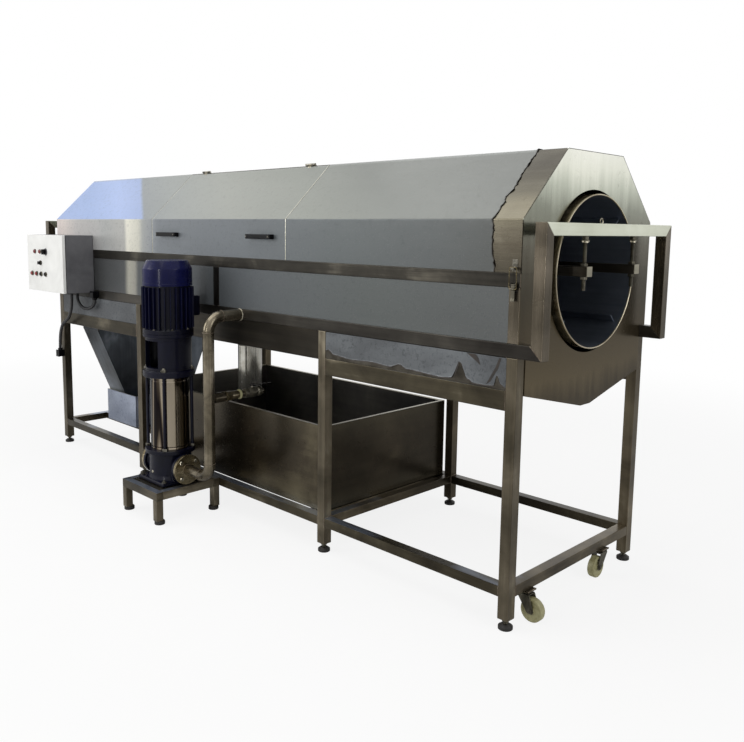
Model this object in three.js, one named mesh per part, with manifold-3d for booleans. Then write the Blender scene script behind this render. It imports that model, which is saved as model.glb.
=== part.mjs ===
// Drum machine that rubs and washes the green husk off walnuts.
// Millimetres. X runs along the machine, with the drum's open mouth at the +X end, Y runs from the
// side with the pump and the cabinet to the rear, and Z is up from the floor. While the parts are
// made, X = 0 is the outer face of the mouth-end legs and Y = 0 is the front face of the frame.

import * as THREE from 'three';
import { mergeVertices } from 'three/addons/utils/BufferGeometryUtils.js';
import Module from 'manifold-3d';

const wasm = await Module();
wasm.setup();

// Clearances shared by all parts
const seat = 0.3;
const running = 0.5;
const overrun = 2;
const weld = 1;
const arcHandleShare = 0.5523;
const shortSides = 8;

// Frame
const bodyLength = 3890;
const bodyWidth = 1040;
const tube = 50;
const endBayPitch = 1070;
const footHeight = 42;
const baseRailBottom = 133;
const baseRailHeight = 45;
const midRailBottom = 886;
const midRailHeight = 80;
const deckBottom = 1095;
const deckHeight = 55;
const casingTop = 1418;
const topRailHeight = 55;
const mullionFromNearEnd = 1955;
const guardTop = 1609;
const guardReachNear = 105;
const guardReachFar = 195;
const plate = 3;
const panelInset = 3;
const skirtTopGap = 2;

// Hood
const shoulderHeight = 1620;
const hoodTop = 1900;
const hoodSlopeRun = 293;
const hoodSheet = 2.5;
const seamNear = 1359;
const seamFar = 2608;
const seamGap = 1;

// Drum and what turns it
const drumRise = 260;
const drumRadius = 320;
const drumWall = 4;
const drumProud = 31;
const mouthClearance = 18;
const tyreHeight = 8;
const tyreWidth = 50;
const tyreFromEnd = 330;
const rollerRadius = 60;
const rollerWidth = 60;
const rollerShaftRadius = 20;
const rollerAngle = 50;

// Trough
const troughEdgeDrop = 150;
const troughFall = 100;
const troughFloorWidth = 80;
const troughSheet = 3;

// Pump
const pumpFromNearEnd = 2120;
const pumpFromFront = 200;
const portHeight = 265;
const portReach = 155;
const portFlangeRadius = 82.5;
const portFlangeThickness = 18;
const dischargeRadius = 30.15;
const dischargeFromPump = 380;
const dischargeEndHeight = 1118;

// Tank
const tankNear = 1130;
const tankFar = 2760;
const tankTop = 612;
const tankSheet = 3;
const tankClearance = 3;
const tankLip = 20;

// Places worked out from the sizes above
const midWidth = bodyWidth / 2;
const deckTop = deckBottom + deckHeight;
const drumAxisHeight = deckTop + drumRise;
const troughEdgeHeight = deckBottom - troughEdgeDrop;
const troughBottomHeight = troughEdgeHeight - troughFall;
const baseRailTop = baseRailBottom + baseRailHeight;
const midRailTop = midRailBottom + midRailHeight;
const hoodBase = casingTop + seat;
const farEnd = -bodyLength;
const legCentres = [
  -tube / 2,
  -tube / 2 - endBayPitch,
  farEnd + tube / 2 + endBayPitch,
  farEnd + tube / 2,
];
const guardOuterNear = guardReachNear;
const guardOuterFar = farEnd - guardReachFar;
const pumpX = -pumpFromNearEnd;
const pumpY = -pumpFromFront;

const steel = { color: 0x8a8278, roughness: 0.34, metalness: 1 };
const sheetSteel = { color: 0x9b9a92, roughness: 0.3, metalness: 1 };
const filmSheet = { color: 0x8f9696, roughness: 0.4, metalness: 0.4 };
const pumpPaint = { color: 0x14163a, roughness: 0.35, metalness: 0.1 };
const blackPlastic = { color: 0x15151a, roughness: 0.5, metalness: 0 };
const cabinetPaint = { color: 0xb9bcc4, roughness: 0.4, metalness: 0.2 };
const redPlastic = { color: 0x8c1420, roughness: 0.35, metalness: 0 };
const wheelCream = { color: 0xb8b08a, roughness: 0.5, metalness: 0 };
const polished = { color: 0xb9b2a2, roughness: 0.12, metalness: 1 };
const galvanised = { color: 0x8d8f8a, roughness: 0.45, metalness: 1 };

const machine = new THREE.Group();

// Turns a closed geometry into a solid that can be cut and joined.
function solid(geometry) {
  const bare = geometry.clone();
  bare.deleteAttribute('normal');
  bare.deleteAttribute('uv');
  const merged = mergeVertices(bare);
  return new wasm.Manifold(new wasm.Mesh({
    numProp: 3,
    vertProperties: new Float32Array(merged.attributes.position.array),
    triVerts: new Uint32Array(merged.index.array),
  }));
}

function join(solids) {
  return solids.reduce((sum, next) => sum.add(next));
}

function cut(body, tools) {
  return tools.reduce((rest, tool) => rest.subtract(tool), body);
}

function addPart(name, body, finish) {
  const made = body.getMesh();
  const geometry = new THREE.BufferGeometry();
  geometry.setAttribute('position', new THREE.BufferAttribute(made.vertProperties, 3));
  geometry.setIndex(new THREE.BufferAttribute(made.triVerts, 1));
  geometry.computeVertexNormals();
  const mesh = new THREE.Mesh(geometry, new THREE.MeshStandardMaterial(finish));
  mesh.name = name;
  machine.add(mesh);
}

// A box from its lowest to its highest corner.
function block(x, y, z) {
  const geometry = new THREE.BoxGeometry(x[1] - x[0], y[1] - y[0], z[1] - z[0]);
  geometry.translate((x[0] + x[1]) / 2, (y[0] + y[1]) / 2, (z[0] + z[1]) / 2);
  return solid(geometry);
}

// A band of the given half width about a centre.
function about(centre, half) {
  return [centre - half, centre + half];
}

function prism(points, span, matrix) {
  const shape = new THREE.Shape(points.map(([a, b]) => new THREE.Vector2(a, b)));
  const geometry = new THREE.ExtrudeGeometry(shape, { depth: span, bevelEnabled: false });
  geometry.applyMatrix4(matrix);
  return solid(geometry);
}

// Points are [y, z], extruded along X.
function prismX(points, x) {
  const matrix = new THREE.Matrix4().makeBasis(
    new THREE.Vector3(0, 1, 0),
    new THREE.Vector3(0, 0, 1),
    new THREE.Vector3(1, 0, 0),
  );
  matrix.setPosition(x[0], 0, 0);
  return prism(points, x[1] - x[0], matrix);
}

// Points are [x, z], extruded along Y.
function prismY(points, y) {
  const matrix = new THREE.Matrix4().makeBasis(
    new THREE.Vector3(1, 0, 0),
    new THREE.Vector3(0, 0, 1),
    new THREE.Vector3(0, -1, 0),
  );
  matrix.setPosition(0, y[1], 0);
  return prism(points, y[1] - y[0], matrix);
}

// Points are [x, y], extruded along Z.
function prismZ(points, z) {
  const matrix = new THREE.Matrix4();
  matrix.setPosition(0, 0, z[0]);
  return prism(points, z[1] - z[0], matrix);
}

// A cylinder along one axis: span is its reach along that axis, centre the other two places in order.
function rod(axis, radius, span, centre, sides) {
  const geometry = new THREE.CylinderGeometry(radius, radius, span[1] - span[0], sides);
  const middle = (span[0] + span[1]) / 2;
  if (axis === 'x') {
    geometry.rotateZ(-Math.PI / 2);
    geometry.translate(middle, centre[0], centre[1]);
  } else if (axis === 'y') {
    geometry.translate(centre[0], middle, centre[1]);
  } else {
    geometry.rotateX(Math.PI / 2);
    geometry.translate(centre[0], centre[1], middle);
  }
  return solid(geometry);
}

// A turned body about Z: points are [radius, z] from the axis round to the axis, or a closed loop.
function turned(points, centre, sides) {
  const profile = points.map(([radius, z]) => new THREE.Vector2(radius, z));
  const geometry = new THREE.LatheGeometry(profile, sides);
  geometry.rotateX(Math.PI / 2);
  geometry.translate(centre[0], centre[1], 0);
  return solid(geometry);
}

function ring(radius, sides) {
  return Array.from({ length: sides }, (_, i) => {
    const turn = (i / sides) * Math.PI * 2;
    return new THREE.Vector2(Math.cos(turn) * radius, Math.sin(turn) * radius);
  });
}

// A round bar along a curve.
function sweep(curve, radius, sides, steps) {
  const shape = new THREE.Shape(ring(radius, sides));
  return solid(new THREE.ExtrudeGeometry(shape, { steps, extrudePath: curve, bevelEnabled: false }));
}

// A pipe's route: straight runs through the corners, in one step each, and a round bend at each
// corner in several.
class PipeRoute extends THREE.Curve {
  constructor(corners, bend, bendSteps) {
    super();
    this.stations = [];
    let start = corners[0];
    for (let i = 1; i < corners.length - 1; i += 1) {
      const into = corners[i].clone().sub(corners[i - 1]).normalize();
      const out = corners[i + 1].clone().sub(corners[i]).normalize();
      const before = corners[i].clone().addScaledVector(into, -bend);
      const after = corners[i].clone().addScaledVector(out, bend);
      this.stations.push([new THREE.LineCurve3(start, before), 0]);
      const round = new THREE.CubicBezierCurve3(
        before,
        before.clone().addScaledVector(into, bend * arcHandleShare),
        after.clone().addScaledVector(out, -bend * arcHandleShare),
        after,
      );
      for (let step = 0; step < bendSteps; step += 1) {
        this.stations.push([round, step / bendSteps]);
      }
      start = after;
    }
    const last = new THREE.LineCurve3(start, corners[corners.length - 1]);
    this.stations.push([last, 0], [last, 1]);
    this.steps = this.stations.length - 1;
  }

  getPointAt(u) {
    const [curve, t] = this.stations[Math.round(u * this.steps)];
    return curve.getPoint(t);
  }

  getTangentAt(u) {
    const [curve, t] = this.stations[Math.round(u * this.steps)];
    return curve.getTangent(t);
  }
}

// The open line moved sideways to its left by a distance, with mitred corners.
function offsetLine(points, distance) {
  const normals = points.slice(1).map((point, i) => {
    const along = new THREE.Vector2(point[0] - points[i][0], point[1] - points[i][1]).normalize();
    return new THREE.Vector2(-along.y, along.x);
  });
  return points.map((point, i) => {
    const before = normals[Math.max(i - 1, 0)];
    const after = normals[Math.min(i, normals.length - 1)];
    const mitre = before.clone().add(after);
    mitre.multiplyScalar((distance * 2) / mitre.lengthSq());
    return [point[0] + mitre.x, point[1] + mitre.y];
  });
}

// The outline of a folded sheet that follows an open line, from one offset of it to another.
function sheetOutline(points, near, far) {
  return [...offsetLine(points, near), ...offsetLine(points, far).reverse()];
}

function mirrorWidth(y) {
  return [bodyWidth - y[1], bodyWidth - y[0]];
}

// Leg rows, feet and bottom members
const footPadRadius = 30;
const footPadHeight = 14;
const footConeHeight = 22;
const footNeckRadius = 20;
const footStudRadius = 9;
const footSides = 16;
const tankBearerInset = 70;
const bearerWidth = 45;
const boxBearerFromMiddle = 190;
const casterFromEnd = 15;
const casterFromFront = [150, 760];
const casterPlateSize = 60;
const casterPlateThickness = 6;
const casterRaceRadius = 22;
const casterRaceHeight = 8;
const legBox = { width: 44, depth: 44, bottom: 640, top: 686 };
const conduitRadius = 11;
const glandRadius = 15;
const glandLength = 14;
const glandSides = 12;

function legRow(y) {
  const legs = legCentres.map((x) => block(about(x, tube / 2), y, [footHeight, deckBottom - seat]));
  const baseRail = block([farEnd, 0], y, [baseRailBottom, baseRailTop]);
  const midRails = [[0, 1], [2, 3]].map(([near, far]) => (
    block([legCentres[far], legCentres[near]], y, [midRailBottom, midRailTop])
  ));
  return join([...legs, baseRail, ...midRails]);
}

function crossMember(x, width) {
  return block(about(x, width / 2), [tube + seat, bodyWidth - tube / 2], [baseRailBottom, baseRailTop]);
}

function buildLegFrames() {
  const box = block(about(legCentres[3], legBox.width / 2), [-legBox.depth, weld], [legBox.bottom, legBox.top]);
  const gland = rod('z', glandRadius, [legBox.top - weld, legBox.top + glandLength],
    [legCentres[3], -legBox.depth / 2], glandSides);
  addPart('front_leg_frame', join([legRow([0, tube]), box, gland]), steel);

  const bearers = [-tankNear - tankBearerInset, -tankFar + tankBearerInset];
  const members = [crossMember(legCentres[0], tube), crossMember(legCentres[3], tube)];
  bearers.forEach((x) => members.push(crossMember(x, bearerWidth)));
  [-boxBearerFromMiddle, boxBearerFromMiddle].forEach((side) => {
    members.push(block(
      [legCentres[3], bearers[1]],
      about(midWidth + side, bearerWidth / 2),
      [baseRailBottom, baseRailTop],
    ));
  });
  const plateBottom = baseRailBottom - casterPlateThickness;
  casterFromFront.forEach((y) => {
    members.push(block(
      about(-casterFromEnd, casterPlateSize / 2),
      about(y, casterPlateSize / 2),
      [plateBottom, baseRailBottom + weld],
    ));
    members.push(rod('z', casterRaceRadius, [plateBottom - casterRaceHeight, plateBottom + weld],
      [-casterFromEnd, y], footSides));
  });
  addPart('rear_leg_frame', join([legRow(mirrorWidth([0, tube])), ...members]), steel);
}

function buildFeet() {
  const profile = [
    [0, 0],
    [footPadRadius, 0],
    [footPadRadius, footPadHeight],
    [footNeckRadius, footConeHeight],
    [footStudRadius, footConeHeight],
    [footStudRadius, footHeight - seat],
    [0, footHeight - seat],
  ];
  const names = ['near', 'mid_near', 'mid_far', 'far'];
  legCentres.forEach((x, i) => {
    addPart(`front_foot_${names[i]}`, turned(profile, [x, tube / 2], footSides), blackPlastic);
    addPart(`rear_foot_${names[i]}`, turned(profile, [x, bodyWidth - tube / 2], footSides), blackPlastic);
  });
}

// Casters that take the weight when the feet are screwed up
const wheelRadius = 50;
const wheelWidth = 32;
const wheelLift = 3;
const wheelTread = 4;
const wheelSides = 28;
const axleRadius = 6;
const casterTrail = 35;
const forkPlate = 4;
const forkHeadThickness = 5;
const forkHeadLength = 56;
const forkWidth = 46;
const forkEyeRadius = 14;
const casterTurns = [0, -Math.PI / 2];

function placeCaster(geometryBody, index) {
  const turn = new THREE.Matrix4().makeRotationZ(casterTurns[index]);
  turn.setPosition(-casterFromEnd, casterFromFront[index], 0);
  return geometryBody.transform(turn.elements);
}

function buildCasters() {
  const headTop = baseRailBottom - casterPlateThickness - casterRaceHeight - seat;
  const headBottom = headTop - forkHeadThickness;
  const axleHeight = wheelRadius + wheelLift;
  const head = block(about(0, forkHeadLength / 2), about(0, forkWidth / 2), [headBottom, headTop]);
  const cheek = [
    [-forkHeadLength / 2, headTop],
    [-forkHeadLength / 2, headBottom],
    [casterTrail - forkEyeRadius, axleHeight - forkEyeRadius],
    [casterTrail + forkEyeRadius, axleHeight - forkEyeRadius],
    [casterTrail + forkEyeRadius, axleHeight],
    [forkHeadLength / 2, headTop],
  ];
  const cheeks = [
    prismY(cheek, [-forkWidth / 2, -forkWidth / 2 + forkPlate]),
    prismY(cheek, [forkWidth / 2 - forkPlate, forkWidth / 2]),
  ];
  const axle = rod('y', axleRadius, about(0, forkWidth / 2 + forkPlate), [casterTrail, axleHeight], footSides);
  const fork = join([head, ...cheeks, axle]);
  const half = wheelWidth / 2;
  const wheelProfile = [
    [axleRadius + running, -half],
    [wheelRadius - wheelTread, -half],
    [wheelRadius, -half + wheelTread],
    [wheelRadius, half - wheelTread],
    [wheelRadius - wheelTread, half],
    [axleRadius + running, half],
    [axleRadius + running, -half],
  ];
  const wheelShape = wheelProfile.map(([radius, z]) => new THREE.Vector2(radius, z));
  const wheelGeometry = new THREE.LatheGeometry(wheelShape, wheelSides);
  wheelGeometry.translate(casterTrail, 0, axleHeight);
  const wheel = solid(wheelGeometry);
  ['front', 'rear'].forEach((name, i) => {
    addPart(`caster_fork_${name}`, placeCaster(fork, i), galvanised);
    addPart(`caster_wheel_${name}`, placeCaster(wheel, i), wheelCream);
  });
}

// Deck: the two long rails, the beams between them and the bearings of the roller shafts
const beamHeight = 45;
const beamWidth = 60;
const beamFromEnd = 230;
const beamClearance = 3;
const beamUnderDrum = 20;
const stubHeight = 40;
const bearingWidth = 90;
const bearingRise = 35;
const shaftSides = 24;
const boreSides = 32;
const junctionBox = { fromFarEnd: 572, width: 44, depth: 44, bottom: 1100, top: 1144 };

const rollerReach = drumRadius + tyreHeight + rollerRadius + seat;
const rollerTurn = THREE.MathUtils.degToRad(rollerAngle);
const shaftOffset = rollerReach * Math.sin(rollerTurn);
const shaftHeight = drumAxisHeight - rollerReach * Math.cos(rollerTurn);
const beamPlaces = [-beamFromEnd, farEnd + beamFromEnd];

function buildDeck() {
  const rail = [
    [guardOuterFar, deckBottom],
    [guardOuterNear, deckBottom],
    [guardOuterNear - tube, deckTop],
    [guardOuterFar + tube, deckTop],
  ];
  const parts = [prismY(rail, [0, tube]), prismY(rail, mirrorWidth([0, tube]))];
  const bores = [];
  const beamTop = drumAxisHeight - drumRadius - tyreHeight - beamUnderDrum;
  const beamEnd = tube + seat + troughSheet + beamClearance;
  beamPlaces.forEach((x) => {
    const span = about(x, beamWidth / 2);
    parts.push(block(span, [beamEnd, bodyWidth - beamEnd], [beamTop - beamHeight, beamTop]));
    const side = [tube / 2, beamEnd + beamWidth];
    const upright = [beamEnd, beamEnd + beamWidth];
    [side, mirrorWidth(side)].forEach((y) => {
      parts.push(block(span, y, [deckBottom, deckBottom + stubHeight]));
    });
    [upright, mirrorWidth(upright)].forEach((y) => {
      parts.push(block(span, y, [beamTop - beamHeight, deckBottom + stubHeight]));
    });
    [midWidth - shaftOffset, midWidth + shaftOffset].forEach((y) => {
      parts.push(block(span, about(y, bearingWidth / 2), [beamTop - weld, shaftHeight + bearingRise]));
      bores.push(rod('x', rollerShaftRadius + running, [span[0] - overrun, span[1] + overrun],
        [y, shaftHeight], boreSides));
    });
  });
  const boxX = farEnd + junctionBox.fromFarEnd;
  parts.push(block(
    about(boxX, junctionBox.width / 2),
    [-junctionBox.depth, weld],
    [junctionBox.bottom, junctionBox.top],
  ));
  parts.push(rod('z', glandRadius, [junctionBox.bottom - glandLength, junctionBox.bottom + weld],
    [boxX, -junctionBox.depth / 2], glandSides));
  addPart('deck_frame', cut(join(parts), bores), steel);
}

// Guard hoops at both ends, with the hanger rods of the spray rack under their top bars
const hangerRadius = 8;
const hangerDrop = 75;
const sprayRise = 10;
const hangerNutRadius = 14;
const hangerNutHeight = 14;
const nutSides = 6;
const sprayOffset = 200;
const sprayHeight = drumAxisHeight + sprayRise;
const hangerBottom = sprayHeight - hangerDrop;

function buildGuard(name, outer, inward) {
  const inner = outer + inward * tube;
  const upright = [
    [outer, deckBottom + seat],
    [outer, guardTop],
    [inner, guardTop],
    [inner, deckTop + seat],
  ];
  const span = [Math.min(outer, inner), Math.max(outer, inner)];
  const barBottom = guardTop - tube;
  const parts = [
    prismY(inward > 0 ? upright.reverse() : upright, [0, tube]),
    block(span, [0, bodyWidth], [barBottom, guardTop]),
  ];
  const rearUpright = prismY(upright, mirrorWidth([0, tube]));
  parts.push(rearUpright);
  [midWidth - sprayOffset, midWidth + sprayOffset].forEach((y) => {
    const centre = [(outer + inner) / 2, y];
    parts.push(rod('z', hangerRadius, [hangerBottom, barBottom + weld], centre, footSides));
    parts.push(rod('z', hangerNutRadius, [barBottom - hangerNutHeight, barBottom + weld], centre, nutSides));
  });
  addPart(name, join(parts), steel);
}

// Casing between the deck and the hood: rails, posts, panels, end plates and trough
const latchWidth = 28;
const latchPlate = 3;
const latchBottom = 1345;
const latchTop = 1385;
const latchPivot = { out: 8.5, height: 1373, radius: 2.5 };
const latchEar = { inner: 9.5, outer: 12.5, reach: 12, rise: 7 };
const hingeStandoff = 11;
const hingeBarrelRadius = 9;
const hingePinRadius = 5;
const hingeKnuckle = 30;
const hingeLeafHeight = 30;
const hingeLeafGap = 3;
const hingeSides = 20;
const hingeFromEnd = 400;

const latchX = legCentres[0];
const hingePlaces = [-hingeFromEnd, farEnd + hingeFromEnd];
const hingeAxisY = bodyWidth + hingeStandoff;

function knuckles(x, length, step, radius, centre, sides) {
  return [-step, step].map((shift) => (
    rod('x', radius, about(x + shift, length / 2), centre, sides)
  ));
}

function latchBase(x) {
  const parts = [
    block(about(x, latchWidth / 2), [-latchPlate, weld], [latchBottom, latchTop]),
    rod('x', latchPivot.radius, about(x, latchEar.outer), [-latchPivot.out, latchPivot.height], footSides),
  ];
  [-1, 1].forEach((side) => {
    const ends = [x + side * latchEar.inner, x + side * latchEar.outer];
    ends.sort((a, b) => a - b);
    parts.push(block(ends, [-latchEar.reach, 0], about(latchPivot.height, latchEar.rise)));
  });
  return join(parts);
}

function buildTopFrames() {
  const rail = [casingTop - topRailHeight, casingTop];
  const rise = [deckTop + seat, casingTop];
  const nearPost = [-tube, 0];
  const farPost = [farEnd, farEnd + tube];
  const mullion = about(-mullionFromNearEnd, tube / 2);
  const front = [
    block([farEnd, 0], [0, tube], rail),
    block(nearPost, [0, tube], rise),
    block(farPost, [0, tube], rise),
    block(mullion, [0, tube], rise),
    latchBase(latchX),
  ];
  addPart('front_top_frame', join(front), steel);

  const rearY = mirrorWidth([0, tube]);
  const rear = [
    block([farEnd, 0], rearY, rail),
    block(nearPost, rearY, rise),
    block(farPost, rearY, rise),
    block([farEnd + weld, -weld], mirrorWidth([panelInset, panelInset + plate]), rise),
  ];
  hingePlaces.forEach((x) => {
    const step = hingeKnuckle + running;
    const axis = [hingeAxisY, casingTop];
    rear.push(...knuckles(x, hingeKnuckle, step, hingeBarrelRadius, axis, hingeSides));
    rear.push(rod('x', hingePinRadius, about(x, step + hingeKnuckle / 2), axis, hingeSides));
    [-step, step].forEach((shift) => {
      rear.push(block(
        about(x + shift, hingeKnuckle / 2),
        [bodyWidth - weld, hingeAxisY],
        [casingTop - hingeLeafHeight, casingTop - hingeLeafGap],
      ));
    });
  });
  addPart('rear_wall', join(rear), steel);
}

function buildPanels() {
  const y = [panelInset, panelInset + plate];
  const panelZ = [deckTop + seat, casingTop - topRailHeight - seat];
  const mullion = about(-mullionFromNearEnd, tube / 2);
  addPart('front_panel_near', block([mullion[1] + seat, -tube - seat], y, panelZ), filmSheet);
  addPart('front_panel_far', block([farEnd + tube + seat, mullion[0] - seat], y, panelZ), filmSheet);
  const skirtZ = [midRailTop + seat, deckBottom - skirtTopGap];
  const skirts = { near: [0, 1], far: [2, 3] };
  Object.entries(skirts).forEach(([name, [first, second]]) => {
    const x = [legCentres[second] + tube / 2 + seat, legCentres[first] - tube / 2 - seat];
    addPart(`front_skirt_${name}`, block(x, y, skirtZ), filmSheet);
  });
}

const troughY = tube + seat;
const troughLine = [
  [troughY, deckBottom - seat],
  [troughY, troughEdgeHeight],
  [midWidth - troughFloorWidth / 2, troughBottomHeight],
  [midWidth + troughFloorWidth / 2, troughBottomHeight],
  [bodyWidth - troughY, troughEdgeHeight],
  [bodyWidth - troughY, deckBottom - seat],
];
const drumSides = 64;
const mouthSides = 96;
const mouthRadius = drumRadius + mouthClearance;
const driveHoleRadius = 27;

function buildEndPlates() {
  const outline = [
    [troughY, deckTop + seat],
    ...troughLine.slice(1, -1),
    [bodyWidth - troughY, deckTop + seat],
    [bodyWidth, deckTop + seat],
    [bodyWidth, casingTop],
    [0, casingTop],
    [0, deckTop + seat],
  ];
  const nearX = [seat, seat + plate];
  const farX = [farEnd - seat - plate, farEnd - seat];
  const mouth = (x) => rod('x', mouthRadius, [x[0] - overrun, x[1] + overrun],
    [midWidth, drumAxisHeight], mouthSides);
  const drive = rod('x', driveHoleRadius, [farX[0] - overrun, farX[1] + overrun],
    [midWidth + shaftOffset, shaftHeight], boreSides);
  addPart('end_plate_near', cut(prismX(outline, nearX), [mouth(nearX)]), sheetSteel);
  addPart('end_plate_far', cut(prismX(outline, farX), [mouth(farX), drive]), sheetSteel);
}

// The trough under the drum, with its drain pipe and the tapered discharge chute
const drainRadius = 75;
const drainWall = 3;
const drainBottom = 560;
const drainFromNearEnd = 2336;
const drainSides = 32;
const chuteNear = 3427;
const chuteFar = 3641;
const chuteShoulder = troughBottomHeight + 15;
const chuteBottom = 300;
const chuteMouthInset = 283;

function buildTrough() {
  const x = [farEnd, 0];
  const sheet = prismX(sheetOutline(troughLine, 0, troughSheet), x);
  const inside = offsetLine(troughLine, troughSheet);
  const above = prismX([
    ...inside,
    [inside[inside.length - 1][0], deckTop],
    [inside[0][0], deckTop],
  ], [x[0] - overrun, x[1] + overrun]);
  const chuteX = [-chuteFar, -chuteNear];
  const chuteOutline = (wall, top) => [
    [troughY + wall, top],
    [troughY + wall, chuteShoulder],
    [chuteMouthInset + wall, chuteBottom],
    [bodyWidth - chuteMouthInset - wall, chuteBottom],
    [bodyWidth - troughY - wall, chuteShoulder],
    [bodyWidth - troughY - wall, top],
  ];
  const chuteOuter = prismX(chuteOutline(0, troughEdgeHeight), chuteX);
  const chuteInner = join([
    prismX(chuteOutline(troughSheet, troughEdgeHeight - troughSheet),
      [chuteX[0] + troughSheet, chuteX[1] - troughSheet]),
    block(
      [chuteX[0] + troughSheet, chuteX[1] - troughSheet],
      [chuteMouthInset + troughSheet, bodyWidth - chuteMouthInset - troughSheet],
      [chuteBottom - overrun, chuteBottom + overrun],
    ),
  ]);
  const drainPlace = [-drainFromNearEnd, midWidth];
  const drainTop = troughEdgeHeight;
  const drainOuter = rod('z', drainRadius, [drainBottom, drainTop], drainPlace, drainSides);
  const drainInner = rod('z', drainRadius - drainWall, [drainBottom - overrun, drainTop + overrun],
    drainPlace, drainSides);
  const body = cut(join([sheet, chuteOuter, drainOuter]), [above, chuteInner, drainInner]);
  addPart('trough', body, sheetSteel);
}

// Hood: one lid in three sheet sections, hinged along the rear, with a door in the middle section
const hoodLine = [
  [0, hoodBase],
  [0, shoulderHeight],
  [hoodSlopeRun, hoodTop],
  [bodyWidth - hoodSlopeRun, hoodTop],
  [bodyWidth, shoulderHeight],
  [bodyWidth, hoodBase],
];
const ribHalfWidth = 20;
const ribThickness = 3;
const ribWeb = 10;
const keeper = { halfWidth: 12, proud: 2, bottom: 1424, top: 1470 };
const keeperHook = { halfWidth: 9, reach: 20, lip: 3, bottom: 1431, floor: 1437.7, lipTop: 1439 };
const doorHinge = { radius: 6, pin: 3.2, bore: 3.7, rise: 7, knuckle: 25, fromSeam: 150, tab: 10, tabTop: 3.5 };
const handle = { fromSeam: 192, length: 200, drop: 88, thickness: 24, reach: 34, bar: 12, foot: 22 };

const doorHingePlaces = [-seamNear - doorHinge.fromSeam, -seamFar + doorHinge.fromSeam];
const doorAxis = [hoodSlopeRun, hoodTop + doorHinge.rise];

function hoodSkin(x) {
  return prismX(sheetOutline(hoodLine, -hoodSheet, 0), x);
}

function doorBox(gap, floor) {
  return block(
    [-seamFar + gap, -seamNear - gap],
    [-overrun, hoodSlopeRun - gap],
    [floor, hoodTop + overrun],
  );
}

function hoodRib(seam, fixedSide) {
  const start = hoodSheet + seat;
  const rib = prismX(sheetOutline(hoodLine, -start - ribThickness, -start), about(seam, ribHalfWidth));
  const webX = [seam + fixedSide * ribWeb, seam + fixedSide * ribHalfWidth];
  webX.sort((a, b) => a - b);
  const web = prismX(sheetOutline(hoodLine, -start - weld, -weld), webX);
  return rib.add(web);
}

function latchKeeper(x) {
  return join([
    block(about(x, keeper.halfWidth), [-keeper.proud, weld], [keeper.bottom, keeper.top]),
    block(about(x, keeperHook.halfWidth), [-keeperHook.reach, 0], [keeperHook.bottom, keeperHook.floor]),
    block(
      about(x, keeperHook.halfWidth),
      [-keeperHook.reach, -keeperHook.reach + keeperHook.lip],
      [keeperHook.bottom, keeperHook.lipTop],
    ),
  ]);
}

function buildHood() {
  const x = [farEnd - seat - plate, seat + plate];
  const hoodOutline = hoodLine.map((point) => [...point]);
  const ends = [[seat, seat + plate], [farEnd - seat - plate, farEnd - seat]].map((span) => (
    cut(prismX(hoodOutline, span), [
      rod('x', mouthRadius, [span[0] - overrun, span[1] + overrun], [midWidth, drumAxisHeight], mouthSides),
    ])
  ));
  const skin = cut(hoodSkin(x), [doorBox(0, hoodBase - overrun)]);
  const parts = [skin, ...ends, hoodRib(-seamNear, 1), hoodRib(-seamFar, -1), latchKeeper(latchX)];
  doorHingePlaces.forEach((place) => {
    const step = doorHinge.knuckle + running;
    parts.push(...knuckles(place, doorHinge.knuckle, step, doorHinge.radius, doorAxis, footSides));
    parts.push(rod('x', doorHinge.pin, about(place, step + doorHinge.knuckle / 2), doorAxis, footSides));
    [-step, step].forEach((shift) => {
      parts.push(block(
        about(place + shift, doorHinge.knuckle / 2),
        [hoodSlopeRun + seamGap, hoodSlopeRun + doorHinge.tab],
        [hoodTop - weld, hoodTop + doorHinge.tabTop],
      ));
    });
  });
  const rearBores = [];
  hingePlaces.forEach((place) => {
    const axis = [hingeAxisY, casingTop];
    const span = about(place, hingeKnuckle / 2);
    parts.push(rod('x', hingeBarrelRadius, span, axis, hingeSides));
    parts.push(block(span, [bodyWidth - weld, hingeAxisY], [casingTop + hingeLeafGap, casingTop + hingeLeafHeight]));
    rearBores.push(rod('x', hingePinRadius + running, [span[0] - overrun, span[1] + overrun], axis, hingeSides));
  });
  addPart('hood_shell', cut(join(parts), rearBores), filmSheet);
}

function buildDoor() {
  const skin = hoodSkin([-seamFar, -seamNear]).intersect(doorBox(seamGap, hoodBase));
  const slope = new THREE.Vector2(hoodSlopeRun, hoodTop - shoulderHeight).normalize();
  const parts = [skin];
  const bores = [];
  doorHingePlaces.forEach((place) => {
    const span = about(place, doorHinge.knuckle / 2);
    parts.push(rod('x', doorHinge.radius, span, doorAxis, footSides));
    const back = hoodSlopeRun - doorHinge.tab;
    const drop = (doorHinge.tab * slope.y) / slope.x;
    parts.push(prismX([
      [back, hoodTop - drop - weld],
      [hoodSlopeRun - seamGap, hoodTop - seamGap - weld],
      [hoodSlopeRun - seamGap, hoodTop + doorHinge.tabTop],
      [back, hoodTop - drop + doorHinge.tabTop],
    ], span));
    bores.push(rod('x', doorHinge.bore, [span[0] - overrun, span[1] + overrun], doorAxis, footSides));
  });
  addPart('hood_door', cut(join(parts), bores), filmSheet);

  const places = { near: -seamNear - handle.fromSeam, far: -seamFar + handle.fromSeam };
  Object.entries(places).forEach(([name, x]) => {
    const z = about(shoulderHeight - handle.drop, handle.thickness / 2);
    const grip = block(about(x, handle.length / 2), [-handle.reach, -handle.reach + handle.bar], z);
    const feet = [-1, 1].map((side) => {
      const outer = x + (side * handle.length) / 2;
      const span = [outer, outer - side * handle.foot].sort((a, b) => a - b);
      return block(span, [-handle.reach + weld, -seat], z);
    });
    addPart(`door_handle_${name}`, join([grip, ...feet]), blackPlastic);
  });
}

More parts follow.
